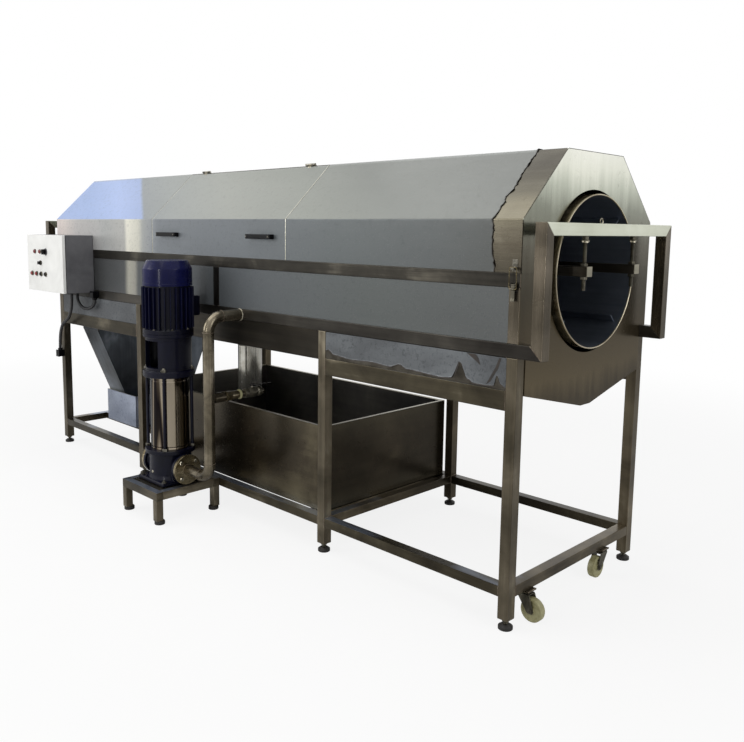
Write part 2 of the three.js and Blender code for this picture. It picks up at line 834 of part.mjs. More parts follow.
// Toggle latch: a lever on the post and a wire bail that holds the keeper on the hood
const lever = { halfWidth: 8.5, barrel: 5, bore: 3, bottom: 1312, thickness: 4, out: 9 };
const bail = { out: 14, height: 1358, top: 1440, radius: 2, bore: 2.5, halfWidth: 16, barrel: 4.5 };

function buildLatch() {
  const span = about(latchX, lever.halfWidth);
  const bored = [span[0] - overrun, span[1] + overrun];
  const pivot = [-latchPivot.out, latchPivot.height];
  const bailPivot = [-bail.out, bail.height];
  const arm = block(span, [-lever.out - lever.thickness, -lever.out], [lever.bottom, latchPivot.height]);
  const body = join([
    arm,
    rod('x', lever.barrel, span, pivot, footSides),
    rod('x', bail.barrel, span, bailPivot, footSides),
  ]);
  addPart('latch_lever', cut(body, [
    rod('x', lever.bore, bored, pivot, footSides),
    rod('x', bail.bore, bored, bailPivot, footSides),
  ]), polished);

  const wires = [-1, 1].map((side) => (
    rod('z', bail.radius, [bail.height - bail.radius, bail.top + bail.radius],
      [latchX + side * bail.halfWidth, -bail.out], shortSides)
  ));
  const bars = [bail.height, bail.top].map((z) => (
    rod('x', bail.radius, about(latchX, bail.halfWidth + bail.radius), [-bail.out, z], shortSides)
  ));
  addPart('latch_bail', join([...wires, ...bars]), polished);
}

// Drum with its running tyres and lifter bars, on two roller shafts driven by a gearmotor
const lifterHeight = 42;
const lifterThickness = 6;
const lifterCount = 4;
const shaftOverhang = 80;
const driveShaftReach = 112;
const gearbox = { half: 60, depth: 100, neckRadius: 58, neck: 32, motorRadius: 50, motorLength: 270 };

function buildDrum() {
  const x = [farEnd - drumProud, drumProud];
  const axis = [midWidth, drumAxisHeight];
  const parts = [rod('x', drumRadius, x, axis, drumSides)];
  [-tyreFromEnd, farEnd + tyreFromEnd].forEach((place) => {
    parts.push(rod('x', drumRadius + tyreHeight, about(place, tyreWidth / 2), axis, drumSides));
  });
  const bore = rod('x', drumRadius - drumWall, [x[0] - overrun, x[1] + overrun], axis, drumSides);
  const lifters = Array.from({ length: lifterCount }, (_, i) => {
    const geometry = new THREE.BoxGeometry(x[1] - x[0] - drumProud * 2, lifterHeight, lifterThickness);
    geometry.translate((x[0] + x[1]) / 2, drumRadius - drumWall - lifterHeight / 2 + weld * 2, 0);
    geometry.rotateX((i + 1 / 2) * ((Math.PI * 2) / lifterCount));
    geometry.translate(0, axis[0], axis[1]);
    return solid(geometry);
  });
  addPart('drum', join([cut(join(parts), [bore]), ...lifters]), sheetSteel);
}

function buildRollers() {
  const nearEnd = beamPlaces[0] + shaftOverhang;
  const farEnds = [beamPlaces[1] - shaftOverhang, farEnd - driveShaftReach];
  [-1, 1].forEach((side, i) => {
    const centre = [midWidth + side * shaftOffset, shaftHeight];
    const parts = [rod('x', rollerShaftRadius, [farEnds[i], nearEnd], centre, shaftSides)];
    [-tyreFromEnd, farEnd + tyreFromEnd].forEach((place) => {
      parts.push(rod('x', rollerRadius, about(place, rollerWidth / 2), centre, boreSides));
    });
    addPart(`roller_shaft_${['front', 'rear'][i]}`, join(parts), steel);
  });

  const centre = [midWidth + shaftOffset, shaftHeight];
  const face = farEnd - plate - seat * 2;
  const boxX = [face - gearbox.depth, face - gearbox.neck];
  const body = join([
    rod('x', gearbox.neckRadius, [boxX[1] - weld, face], centre, boreSides),
    block(boxX, about(centre[0], gearbox.half), about(centre[1], gearbox.half)),
    rod('z', gearbox.motorRadius, [centre[1] - gearbox.motorLength, centre[1]],
      [(boxX[0] + boxX[1]) / 2, centre[0]], shaftSides),
  ]);
  const bore = rod('x', rollerShaftRadius + running, [face - gearbox.depth * 2, face + overrun], centre, boreSides);
  addPart('gearmotor', cut(body, [bore]), pumpPaint);
}

// Spray rack: two square water tubes through the drum, fed by a header at the far end
const sprayTube = 40;
const sprayNutRadius = 15;
const sprayNutHeight = 12;
const headerFromFarEnd = 100;
const sprayOverhang = 25;
const sprayWall = 3;
const nozzleRadius = 5;
const nozzleCount = 10;

function buildSprayRack() {
  const rodPlaces = [guardOuterNear - tube / 2, guardOuterFar + tube / 2];
  const x = [rodPlaces[1] - sprayOverhang, rodPlaces[0] + sprayOverhang];
  const z = about(sprayHeight, sprayTube / 2);
  const rows = [midWidth - sprayOffset, midWidth + sprayOffset];
  const tubes = rows.map((y) => block(x, about(y, sprayTube / 2), z));
  const hollows = rows.map((y) => block(
    [x[0] + sprayWall, x[1] - sprayWall],
    about(y, sprayTube / 2 - sprayWall),
    [z[0] + sprayWall, z[1] - sprayWall],
  ));
  const headerX = farEnd - headerFromFarEnd;
  tubes.push(block(about(headerX, sprayTube / 2), rows, z));
  hollows.push(block(
    about(headerX, sprayTube / 2 - sprayWall),
    rows,
    [z[0] + sprayWall, z[1] - sprayWall],
  ));
  const nozzleSpan = (farEnd - drumProud) / nozzleCount;
  const nozzles = rows.flatMap((y) => Array.from({ length: nozzleCount }, (_, i) => (
    rod('z', nozzleRadius, [z[0] - overrun, z[0] + sprayWall + overrun], [nozzleSpan * (i + 1 / 2), y], nutSides)
  )));
  const parts = [cut(join(tubes), [...hollows, ...nozzles])];
  const bores = [];
  rows.forEach((y) => {
    rodPlaces.forEach((place) => {
      const nutZ = [z[0] - sprayNutHeight, z[1] + sprayNutHeight];
      parts.push(rod('z', sprayNutRadius, nutZ, [place, y], nutSides));
      bores.push(rod('z', hangerRadius + running, [nutZ[0] - overrun, nutZ[1] + overrun], [place, y], footSides));
    });
  });
  addPart('spray_rack', cut(join(parts), bores), sheetSteel);
}

// Pump on its stand
const stand = { halfLength: 180, depth: 400, rail: 40, plate: 8, padRadius: 28, padHeight: 20 };
const baseFoot = { half: 130, height: 22 };
const baseBody = { lowRadius: 120, radius: 100, coneTop: 215, flangeRadius: 136, flangeHeight: 22, top: 365 };
const portNeckRadius = 42;
const sleeve = { radius: 105, top: 767 };
const head = { flangeRadius: 140, flangeTop: 800, radius: 124, wall: 24, windowHalf: 62, top: 1002, rim: 18 };
const stayBolt = { radius: 9, circle: 122 };
const motor = { coreRadius: 122, finRadius: 140, fins: 28, top: 1261, flangeRadius: 136, flangeHeight: 24 };
const motorBox = { half: 52, depth: 50, bottom: 1090, top: 1200 };
const cowl = { radius: 132, wall: 3, shoulder: 1355, crownRadius: 109, top: 1397 };
const coupling = { shaftRadius: 14, radius: 40, bottom: 860, top: 930, shaftBottom: 802 };
const finShare = 0.42;
const pumpSides = 40;

function buildStand() {
  const x = about(pumpX, stand.halfLength);
  const y = [-stand.depth, -seat];
  const top = baseRailTop;
  const bottom = baseRailBottom;
  const rim = cut(block(x, y, [bottom, top]), [
    block([x[0] + stand.rail, x[1] - stand.rail], [y[0] + stand.rail, y[1] - stand.rail],
      [bottom - overrun, top - stand.plate]),
  ]);
  const legs = [];
  [[x[0], x[0] + stand.rail], [x[1] - stand.rail, x[1]]].forEach((legX) => {
    [[y[0], y[0] + stand.rail], [y[1] - stand.rail, y[1]]].forEach((legY) => {
      const centre = [(legX[0] + legX[1]) / 2, (legY[0] + legY[1]) / 2];
      legs.push(block(legX, legY, [stand.padHeight - weld, bottom + weld]));
      legs.push(rod('z', stand.padRadius, [0, stand.padHeight], centre, footSides));
    });
  });
  const keepIn = block(
    [x[0] - stand.padRadius, x[1] + stand.padRadius],
    y,
    [0, top + overrun],
  );
  addPart('pump_stand', join([rim, ...legs]).intersect(keepIn), steel);
}

function buildPump() {
  const place = [pumpX, pumpY];
  const footTop = baseRailTop + seat + baseFoot.height;
  const foot = block(about(pumpX, baseFoot.half), about(pumpY, baseFoot.half), [baseRailTop + seat, footTop]);
  const barrel = turned([
    [0, footTop - weld],
    [baseBody.lowRadius, footTop - weld],
    [baseBody.radius, baseBody.coneTop],
    [baseBody.radius, baseBody.top - baseBody.flangeHeight],
    [baseBody.flangeRadius, baseBody.top - baseBody.flangeHeight],
    [baseBody.flangeRadius, baseBody.top],
    [0, baseBody.top],
  ], place, pumpSides);
  const neck = rod('x', portNeckRadius, about(pumpX, portReach - weld), [pumpY, portHeight], shaftSides);
  const flanges = [-1, 1].map((side) => {
    const ends = [pumpX + side * portReach, pumpX + side * (portReach - portFlangeThickness)];
    return rod('x', portFlangeRadius, ends.sort((a, b) => a - b), [pumpY, portHeight], pumpSides);
  });
  addPart('pump_base', join([foot, barrel, neck, ...flanges]), pumpPaint);

  addPart('pump_sleeve', rod('z', sleeve.radius, [baseBody.top + seat, sleeve.top], place, pumpSides), polished);

  const headBottom = sleeve.top + seat;
  const shell = turned([
    [0, headBottom],
    [head.flangeRadius, headBottom],
    [head.flangeRadius, head.flangeTop],
    [head.radius, head.flangeTop],
    [head.radius, head.top - head.rim],
    [motor.flangeRadius, head.top - head.rim],
    [motor.flangeRadius, head.top],
    [0, head.top],
  ], place, pumpSides);
  const hollow = rod('z', head.radius - head.wall, [head.flangeTop, head.top + overrun], place, boreSides);
  const window = block(
    about(pumpX, head.windowHalf),
    about(pumpY, head.radius + overrun),
    [head.flangeTop + head.rim, head.top - head.rim * 2],
  );
  const bolts = [0, 1, 2, 3].map((i) => {
    const turn = (i + 1 / 2) * (Math.PI / 2);
    const centre = [pumpX + Math.cos(turn) * stayBolt.circle, pumpY + Math.sin(turn) * stayBolt.circle];
    return rod('z', stayBolt.radius, [baseBody.top + seat, headBottom + weld], centre, glandSides);
  });
  addPart('pump_head', cut(join([shell, ...bolts]), [hollow, window]), pumpPaint);

  const spindle = join([
    rod('z', coupling.shaftRadius, [coupling.shaftBottom, head.top - seat], place, footSides),
    rod('z', coupling.radius, [coupling.bottom, coupling.top], place, shaftSides),
    block(about(pumpX, coupling.radius + overrun), about(pumpY, coupling.shaftRadius), [coupling.bottom, coupling.top]),
  ]);
  addPart('pump_shaft', spindle, polished);
}

function buildMotor() {
  const place = [pumpX, pumpY];
  const bottom = head.top + seat;
  const finOutline = [];
  for (let i = 0; i < motor.fins; i += 1) {
    const start = (i / motor.fins) * Math.PI * 2;
    const width = (finShare * Math.PI * 2) / motor.fins;
    [[0, motor.coreRadius], [0, motor.finRadius], [width, motor.finRadius], [width, motor.coreRadius]]
      .forEach(([turn, radius]) => {
        finOutline.push([pumpX + Math.cos(start + turn) * radius, pumpY + Math.sin(start + turn) * radius]);
      });
  }
  const body = join([
    rod('z', motor.flangeRadius, [bottom, bottom + motor.flangeHeight], place, pumpSides),
    prismZ(finOutline, [bottom + motor.flangeHeight - weld, motor.top]),
    block(
      about(pumpX, motorBox.half),
      [pumpY + motor.coreRadius - overrun, pumpY + motor.coreRadius + motorBox.depth],
      [motorBox.bottom, motorBox.top],
    ),
  ]);
  addPart('pump_motor', body, pumpPaint);

  const cowlBottom = motor.top + seat;
  addPart('fan_cowl', turned([
    [0, cowl.top],
    [0, cowl.top - cowl.wall],
    [cowl.crownRadius - cowl.wall, cowl.top - cowl.wall],
    [cowl.radius - cowl.wall, cowl.shoulder - cowl.wall],
    [cowl.radius - cowl.wall, cowlBottom],
    [cowl.radius, cowlBottom],
    [cowl.radius, cowl.shoulder],
    [cowl.crownRadius, cowl.top],
    [0, cowl.top],
  ].slice(1), place, pumpSides), pumpPaint);
}

// Pipes: the discharge with its bypass and ball valve, and the suction that is welded to the tank
const pipeSides = 16;
const bendSteps = 7;
const dischargeBend = 80;
const bypass = { height: 690, radius: 17, end: 150, valveRadius: 24, valveLength: 60, valveFrom: 30, collar: 22 };
const spindleOf = { radius: 6, rise: 34 };
const valveLever = { length: 130, halfWidth: 9, thickness: 4, hub: 13, lift: 24 };
const suction = { radius: 38, bend: 70, runFromFlange: 90 };

const dischargeX = pumpX + dischargeFromPump;
const valveY = tube + bypass.valveFrom;

function buildPipes() {
  const flangeStart = pumpX + portReach + seat;
  const corners = [
    new THREE.Vector3(flangeStart, pumpY, portHeight),
    new THREE.Vector3(dischargeX, pumpY, portHeight),
    new THREE.Vector3(dischargeX, pumpY, dischargeEndHeight),
    new THREE.Vector3(dischargeX, -seat, dischargeEndHeight),
  ];
  const route = new PipeRoute(corners, dischargeBend, bendSteps);
  const pipe = sweep(route, dischargeRadius, pipeSides, route.steps);
  const flange = rod('x', portFlangeRadius, [flangeStart, flangeStart + portFlangeThickness],
    [pumpY, portHeight], pumpSides);
  const branch = rod('y', bypass.radius, [pumpY, bypass.end], [dischargeX, bypass.height], pipeSides);
  const valve = rod('y', bypass.valveRadius, about(valveY, bypass.valveLength / 2),
    [dischargeX, bypass.height], pipeSides);
  const stem = rod('z', spindleOf.radius, [bypass.height, bypass.height + spindleOf.rise],
    [dischargeX, valveY], glandSides);
  addPart('discharge_pipe', join([pipe, flange, branch, valve, stem]), sheetSteel);

  const leverBottom = bypass.height + spindleOf.rise + seat;
  addPart('valve_lever', join([
    rod('z', valveLever.hub, [leverBottom, leverBottom + valveLever.thickness * 2], [dischargeX, valveY], footSides),
    block(
      about(dischargeX, valveLever.halfWidth),
      [valveY, valveY + valveLever.length],
      [leverBottom, leverBottom + valveLever.thickness],
    ),
  ]), redPlastic);
}

function buildTank() {
  const x = [-tankFar, -tankNear];
  const y = [tube + tankClearance, bodyWidth - tube - tankClearance];
  const z = [baseRailTop + seat, tankTop];
  const inner = (wall, floor, ceiling) => block(
    [x[0] + wall, x[1] - wall],
    [y[0] + wall, y[1] - wall],
    [floor, ceiling],
  );
  const shell = cut(block(x, y, z), [
    inner(tankSheet, z[0] + tankSheet, z[1] - tankSheet),
    inner(tankLip, z[0] + tankSheet, z[1] + overrun),
  ]);
  const flangeStart = pumpX - portReach - seat;
  const runX = flangeStart - suction.runFromFlange;
  const route = new PipeRoute([
    new THREE.Vector3(flangeStart, pumpY, portHeight),
    new THREE.Vector3(runX, pumpY, portHeight),
    new THREE.Vector3(runX, y[0] + weld, portHeight),
  ], suction.bend, bendSteps);
  const pipe = sweep(route, suction.radius, pipeSides, route.steps);
  const flange = rod('x', portFlangeRadius, [flangeStart - portFlangeThickness, flangeStart],
    [pumpY, portHeight], pumpSides);
  addPart('water_tank', join([shell, pipe, flange]), sheetSteel);
}

const catchBox = { near: 3260, far: 3660, front: 230, top: 400, sheet: 3 };

function buildCatchBox() {
  const x = [-catchBox.far, -catchBox.near];
  const y = [catchBox.front, bodyWidth - catchBox.front];
  const z = [baseRailTop + seat, catchBox.top];
  addPart('catch_box', cut(block(x, y, z), [
    block(
      [x[0] + catchBox.sheet, x[1] - catchBox.sheet],
      [y[0] + catchBox.sheet, y[1] - catchBox.sheet],
      [z[0] + catchBox.sheet, z[1] + overrun],
    ),
  ]), filmSheet);
}

// Control cabinet
const cabinet = { far: 3900, near: 3360, depth: 215, bottom: 1132, top: 1512, door: 25, sheet: 3 };
const cabinetHinge = { out: 7, radius: 6, pin: 3, bore: 3.5, knuckle: 25, fromEdge: 60 };
const bracket = { fromFar: 100, halfWidth: 25, depth: 160, thickness: 6 };
const lampsFromFar = [125, 203];
const mainSwitchFromFar = 292;
const selectorFromFar = 210;
const buttonsFromFar = [75, 145, 215, 285];
const rowHeights = { lamps: 1399, selector: 1323, buttons: 1248 };
const bezel = { radius: 16, proud: 8, bore: 11.3 };
const lamp = { radius: 13, proud: 13 };
const button = { radius: 10.8, proud: 14, tail: 10 };
const selector = { grip: 5, gripProud: 24 };
const mainSwitch = { radius: 24, plate: 4, hub: 10.8, hubProud: 12, knob: 18, proud: 30, grip: 6 };
const cabinetGlands = [
  { fromNear: 140, y: -55 },
  { fromNear: 215, y: -60 },
];

const cabinetX = [-cabinet.far, -cabinet.near];
const cabinetSplit = -cabinet.depth + cabinet.door;
const hingeX = cabinetX[0] - cabinetHinge.out;
const buttonX = buttonsFromFar.map((distance) => cabinetX[0] + distance);
const selectorX = cabinetX[0] + selectorFromFar;
const mainSwitchX = cabinetX[0] + mainSwitchFromFar;
const hingeRows = [cabinet.bottom + cabinetHinge.fromEdge, cabinet.top - cabinetHinge.fromEdge];

function buildCabinet() {
  const z = [cabinet.bottom, cabinet.top];
  const inset = cabinet.sheet;
  const shell = cut(block(cabinetX, [cabinetSplit, -seat], z), [
    block(
      [cabinetX[0] + inset, cabinetX[1] - inset],
      [cabinetSplit - overrun, -seat - inset],
      [z[0] + inset, z[1] - inset],
    ),
  ]);
  const bracketX = cabinetX[0] + bracket.fromFar;
  const parts = [
    shell,
    block(about(bracketX, bracket.halfWidth), [-bracket.depth, -seat], [z[0] - bracket.thickness, z[0] + weld]),
  ];
  cabinetGlands.forEach((place) => {
    parts.push(rod('z', glandRadius, [z[0] - glandLength, z[0] + weld],
      [cabinetX[1] - place.fromNear, place.y], glandSides));
  });
  hingeRows.forEach((row) => {
    const axis = [hingeX, cabinetSplit];
    parts.push(rod('z', cabinetHinge.radius, [row - cabinetHinge.knuckle, row], axis, footSides));
    parts.push(rod('z', cabinetHinge.pin, [row - weld, row + cabinetHinge.knuckle], axis, glandSides));
    parts.push(block(
      [hingeX, cabinetX[0] + weld],
      [cabinetSplit + cabinetHinge.pin, cabinetSplit + cabinetHinge.radius],
      [row - cabinetHinge.knuckle, row],
    ));
  });
  addPart('cabinet_box', join(parts), cabinetPaint);
}

function buildCabinetDoor() {
  const z = [cabinet.bottom, cabinet.top];
  const inset = cabinet.sheet;
  const slab = cut(block(cabinetX, [-cabinet.depth, cabinetSplit - seat], z), [
    block(
      [cabinetX[0] + inset, cabinetX[1] - inset],
      [-cabinet.depth + inset, cabinetSplit + overrun],
      [z[0] + inset, z[1] - inset],
    ),
  ]);
  const parts = [slab];
  const bores = [];
  lampsFromFar.forEach((distance) => {
    parts.push(rod('y', lamp.radius, [-cabinet.depth - lamp.proud, -cabinet.depth + weld],
      [cabinetX[0] + distance, rowHeights.lamps], footSides));
  });
  const controls = buttonX.map((x) => [x, rowHeights.buttons, bezel.radius, bezel.proud]);
  controls.push([selectorX, rowHeights.selector, bezel.radius, bezel.proud]);
  controls.push([mainSwitchX, rowHeights.lamps, mainSwitch.radius, mainSwitch.plate]);
  controls.forEach(([x, height, radius, proud]) => {
    parts.push(rod('y', radius, [-cabinet.depth - proud, -cabinet.depth + weld], [x, height], shaftSides));
    bores.push(rod('y', bezel.bore, [-cabinet.depth - proud - overrun, cabinetSplit + overrun],
      [x, height], footSides));
  });
  hingeRows.forEach((row) => {
    const axis = [hingeX, cabinetSplit];
    const rise = [row + seat, row + cabinetHinge.knuckle];
    parts.push(rod('z', cabinetHinge.radius, rise, axis, footSides));
    parts.push(block(
      [hingeX, cabinetX[0] + weld],
      [cabinetSplit - cabinetHinge.radius, cabinetSplit - cabinetHinge.bore],
      rise,
    ));
    bores.push(rod('z', cabinetHinge.bore, [rise[0] - overrun, rise[1] + overrun], axis, glandSides));
  });
  addPart('cabinet_door', cut(join(parts), bores), cabinetPaint);

  const buttonSpan = [-cabinet.depth - button.proud, -cabinet.depth + button.tail];
  buttonX.forEach((x, i) => {
    addPart(`push_button_${i + 1}`, rod('y', button.radius, buttonSpan, [x, rowHeights.buttons], footSides),
      i < 2 ? redPlastic : blackPlastic);
  });
  addPart('selector_knob', join([
    rod('y', button.radius, buttonSpan, [selectorX, rowHeights.selector], footSides),
    block(
      about(selectorX, selector.grip / 2),
      [-cabinet.depth - selector.gripProud, -cabinet.depth - button.proud + weld],
      about(rowHeights.selector, button.radius),
    ),
  ]), blackPlastic);
  const front = -cabinet.depth - mainSwitch.plate - seat;
  addPart('main_switch_knob', join([
    rod('y', mainSwitch.hub, [front - weld, -cabinet.depth + button.tail], [mainSwitchX, rowHeights.lamps], footSides),
    rod('y', mainSwitch.knob, [-cabinet.depth - mainSwitch.hubProud, front], [mainSwitchX, rowHeights.lamps], shaftSides),
    block(
      about(mainSwitchX, mainSwitch.grip / 2),
      [-cabinet.depth - mainSwitch.proud, -cabinet.depth - mainSwitch.hubProud + weld],
      about(rowHeights.lamps, mainSwitch.knob),
    ),
  ]), blackPlastic);
}

// Flexible conduits that hang between the cabinet and the frame
const conduitSides = 8;
const conduitSteps = 30;
const loopConduit = [
  [-3500, -55, 1117.7],
  [-3500, -55, 1104],
  [-3497, -55, 1082],
  [-3487, -53, 1060],
  [-3470, -50, 1041],
  [-3447, -46, 1028],
  [-3421, -41, 1022],
  [-3394, -36, 1022],
  [-3368, -31, 1028],
  [-3345, -27, 1040],
  [-3328, -24, 1057],
  [-3318, -22, 1073],
  [-3318, -22, 1085.7],
];
const legConduit = [
  [-3575, -60, 1117.7],
  [-3575, -60, 1109],
  [-3582, -58, 1058],
  [-3601, -54, 1009],
  [-3632, -50, 966],
  [-3672, -46, 932],
  [-3720, -42, 910],
  [-3768, -37, 888],
  [-3808, -32, 854],
  [-3839, -27, 811],
  [-3858, -23, 762],
  [-3865, -22, 712],
  [-3865, -22, 700.3],
];

function buildConduits() {
  const routes = { loop: loopConduit, leg: legConduit };
  Object.entries(routes).forEach(([name, points]) => {
    const curve = new THREE.CatmullRomCurve3(points.map((point) => new THREE.Vector3(...point)));
    addPart(`conduit_${name}`, sweep(curve, conduitRadius, conduitSides, conduitSteps), blackPlastic);
  });
}

buildLegFrames();
buildFeet();
buildCasters();
buildDeck();
buildGuard('guard_near', guardOuterNear, -1);
buildGuard('guard_far', guardOuterFar, 1);
buildTopFrames();
buildPanels();
buildEndPlates();
buildTrough();
buildHood();
buildDoor();
buildLatch();
buildDrum();
buildRollers();
buildSprayRack();
buildStand();
buildPump();
buildMotor();
buildPipes();
buildTank();
buildCatchBox();
buildCabinet();
buildCabinetDoor();
buildConduits();

// The origin is on the floor, under the middle of the machine without its loose conduits.
const extent = new THREE.Box3();
machine.children.filter((mesh) => !mesh.name.startsWith('conduit')).forEach((mesh) => {
  extent.expandByObject(mesh);
});
const middle = extent.getCenter(new THREE.Vector3());
machine.position.set(-middle.x, -middle.y, -extent.min.z);

export default machine;
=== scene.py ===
"""Walnut peeling machine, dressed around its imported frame.

Sizes are millimetres in the maker's drawing: X runs along the drum towards its mouth, which is at zero, Y runs from
the pump side to the rear, and Z is up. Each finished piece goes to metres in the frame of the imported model.
"""
from __future__ import annotations

import logging
import math
import random
from dataclasses import dataclass, field
from enum import Enum
from functools import cache
from typing import Callable, Sequence

import bmesh
import bpy
from mathutils import Matrix, Vector, noise

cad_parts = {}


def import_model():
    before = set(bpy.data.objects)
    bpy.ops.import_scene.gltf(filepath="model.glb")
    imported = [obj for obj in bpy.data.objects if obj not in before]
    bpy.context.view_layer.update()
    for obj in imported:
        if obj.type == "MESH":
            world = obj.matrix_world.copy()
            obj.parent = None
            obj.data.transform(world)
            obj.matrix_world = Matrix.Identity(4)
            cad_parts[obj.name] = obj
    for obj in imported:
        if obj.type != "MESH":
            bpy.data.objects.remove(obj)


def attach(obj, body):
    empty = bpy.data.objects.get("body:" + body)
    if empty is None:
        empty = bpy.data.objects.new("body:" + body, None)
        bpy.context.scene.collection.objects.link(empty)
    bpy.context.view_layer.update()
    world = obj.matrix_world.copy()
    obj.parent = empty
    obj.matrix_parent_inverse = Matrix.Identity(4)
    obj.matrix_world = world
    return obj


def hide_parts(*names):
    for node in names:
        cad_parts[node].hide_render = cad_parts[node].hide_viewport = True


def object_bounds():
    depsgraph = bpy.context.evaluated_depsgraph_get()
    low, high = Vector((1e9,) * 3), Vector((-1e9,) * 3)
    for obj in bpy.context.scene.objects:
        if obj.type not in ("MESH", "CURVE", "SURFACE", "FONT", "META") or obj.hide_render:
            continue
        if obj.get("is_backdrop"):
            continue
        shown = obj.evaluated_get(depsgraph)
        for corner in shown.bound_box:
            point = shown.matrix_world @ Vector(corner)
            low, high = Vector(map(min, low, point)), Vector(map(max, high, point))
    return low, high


LOG = logging.getLogger("walnut_peeler")
MM = 0.001
SHIFT = Vector((1990.0, -330.0, 0.0))

Flat = tuple[float, float]
Span = tuple[float, float]
Point = tuple[float, float, float]
Socket = bpy.types.NodeSocket

# Places that several groups share. FRONT and REAR are the two rows of frame tubes, along Y.
FRONT: Span = (0.0, 50.0)
REAR: Span = (990.0, 1040.0)
WIDTH = 1040.0
LEGS = (-25.0, -1095.0, -2795.0, -3865.0)
DECK_TOP = 1150.3
RAIL_TOP = 1418.0
HOOPS = (("near", 105.0, 55.0), ("far", -4085.0, -4035.0))
RODS_Y = (320.0, 720.0)
DRUM_AXIS: Flat = (520.0, 1410.0)
MOUTH_RADIUS = 338.0
SHAFTS_Y = (222.509, 817.491)
SHAFT_Z = 1160.375
TROUGH_LINE = ((50.3, 945.0), (480.0, 845.0), (560.0, 845.0), (989.7, 945.0))
HOOD_HINGE: Flat = (1051.0, 1418.0)
HOOD_HINGES_X = (-400.0, -3490.0)
LATCH_X = -25.0
LATCH_PIVOT: Flat = (-8.5, 1373.0)
PUMP_AXIS: Flat = (-2120.0, -200.0)
PORT_Z = 265.0
LEG_BOX: Flat = (LEGS[3], -22.0)
DECK_BOX: Flat = (-3318.0, -22.0)


class Axis(Enum):
    """The three directions of the drawing."""

    X = 0
    Y = 1
    Z = 2


X, Y, Z = Axis


def row(x: float, y: float, z: float) -> Vector:
    """A point of the drawing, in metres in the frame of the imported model."""
    return (Vector((x, y, z)) + SHIFT) * MM


def about(centre: float, half: float) -> Span:
    """The band of a half width about a centre."""
    return (centre - half, centre + half)


def spread(span: Span, steps: int) -> list[float]:
    """Even places over a span, with both ends."""
    return [span[0] + (span[1] - span[0]) * i / steps for i in range(steps + 1)]


def lift(axis: Axis, a: float, b: float, along: float) -> Vector:
    """The point at a place along an axis, from its two other places in the order x, y, z."""
    place = [a, b]
    place.insert(axis.value, along)
    return Vector(place)


def rippled(a: float, b: float = 0.0, c: float = 0.0) -> float:
    """A smooth value about zero at a place."""
    return noise.noise(Vector((a, b, c)))


def arc(centre: Flat, radius: float, start: float, end: float, steps: int) -> list[Flat]:
    """Points of an arc, with its angles in degrees."""
    turns = [math.radians(turn) for turn in spread((start, end), steps)]
    return [(centre[0] + radius * math.cos(turn), centre[1] + radius * math.sin(turn)) for turn in turns]


def rounded_line(line: Sequence[Flat], radius: float, steps: int = 4, closed: bool = False) -> list[Flat]:
    """A flat line with its corners turned into arcs.

    Args:
        line: the corners.
        radius: the arc's radius, made less where a side is short.
        steps: points added at each corner.
        closed: whether the last corner joins the first.

    Returns:
        The points of the rounded line.
    """
    points = [Vector(p) for p in line]
    made: list[Flat] = []
    for i, point in enumerate(points):
        before, after = points[i - 1] - point, points[(i + 1) % len(points)] - point
        tip = not closed and i in (0, len(points) - 1)
        turn = math.pi if tip else before.angle(after)
        if turn > math.pi - 0.02:
            made.append((point.x, point.y))
            continue
        reach = min(radius / math.tan(turn / 2), before.length * 0.45, after.length * 0.45)
        start, end = point + before.normalized() * reach, point + after.normalized() * reach
        for t in spread((0.0, 1.0), steps):
            at = start.lerp(point, t).lerp(point.lerp(end, t), t)
            made.append((at.x, at.y))
    return made


def corner_normals(points: Sequence[Vector]) -> list[Vector]:
    """The sum of the left-hand directions of the two sides at each point of an open flat line."""
    sides = [(b - a).normalized() for a, b in zip(points, points[1:])]
    left = [Vector((-side.y, side.x)) for side in sides]
    return [left[max(i - 1, 0)] + left[min(i, len(left) - 1)] for i in range(len(points))]


def offset_line(line: Sequence[Flat], distance: float) -> list[Flat]:
    """An open flat line moved to its left by a distance, with mitred corners."""
    points = [Vector(p) for p in line]
    return [(p + mitre * (2 * distance / mitre.length_squared))[:] for p, mitre in zip(points, corner_normals(points))]


def bent_route(corners: Sequence[Point], bend: float, steps: int) -> list[Vector]:
    """A pipe's centre line through its corners, with a round bend of some steps at each."""
    points = [Vector(p) for p in corners]
    made = [points[0]]
    for before, point, after in zip(points, points[1:], points[2:]):
        into, out = (point - before).normalized(), (after - point).normalized()
        centre = point - into * bend + out * bend
        made += [centre - out * bend * math.cos(turn) + into * bend * math.sin(turn)
                 for turn in spread((0.0, math.pi / 2), steps)]
    return [*made, points[-1]]


def smooth_route(points: Sequence[Point], steps: int) -> list[Vector]:
    """A Catmull-Rom curve through the points, with a number of steps between two of them."""
    knots = [Vector(p) for p in points]
    knots = [knots[0] * 2 - knots[1], *knots, knots[-1] * 2 - knots[-2]]
    made: list[Vector] = []
    for a, b, c, d in zip(knots, knots[1:], knots[2:], knots[3:]):
        for t in (step / steps for step in range(steps)):
            made.append(0.5 * (2 * b + (c - a) * t + (2 * a - 5 * b + 4 * c - d) * t * t
                               + (3 * b - a - 3 * c + d) * t * t * t))
    return [*made, knots[-2]]


def thread_profile(radius: float, depth: float, span: Span, pitch: float) -> list[Flat]:
    """The side of a threaded rod, as radius and height."""
    made: list[Flat] = []
    height = span[0]
    while height < span[1] - pitch:
        made += [(radius - depth, height), (radius, height + pitch / 2)]
        height += pitch
    return [(0.0, span[0]), *made, (radius - depth, span[1]), (0.0, span[1])]


def keep(made: bpy.types.Object, body: str) -> None:
    """Tells the frame which body a finished piece rides on."""
    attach(made, body)
    LOG.info("%s: %d faces, rides on %s", made.name, len(made.data.polygons), body)


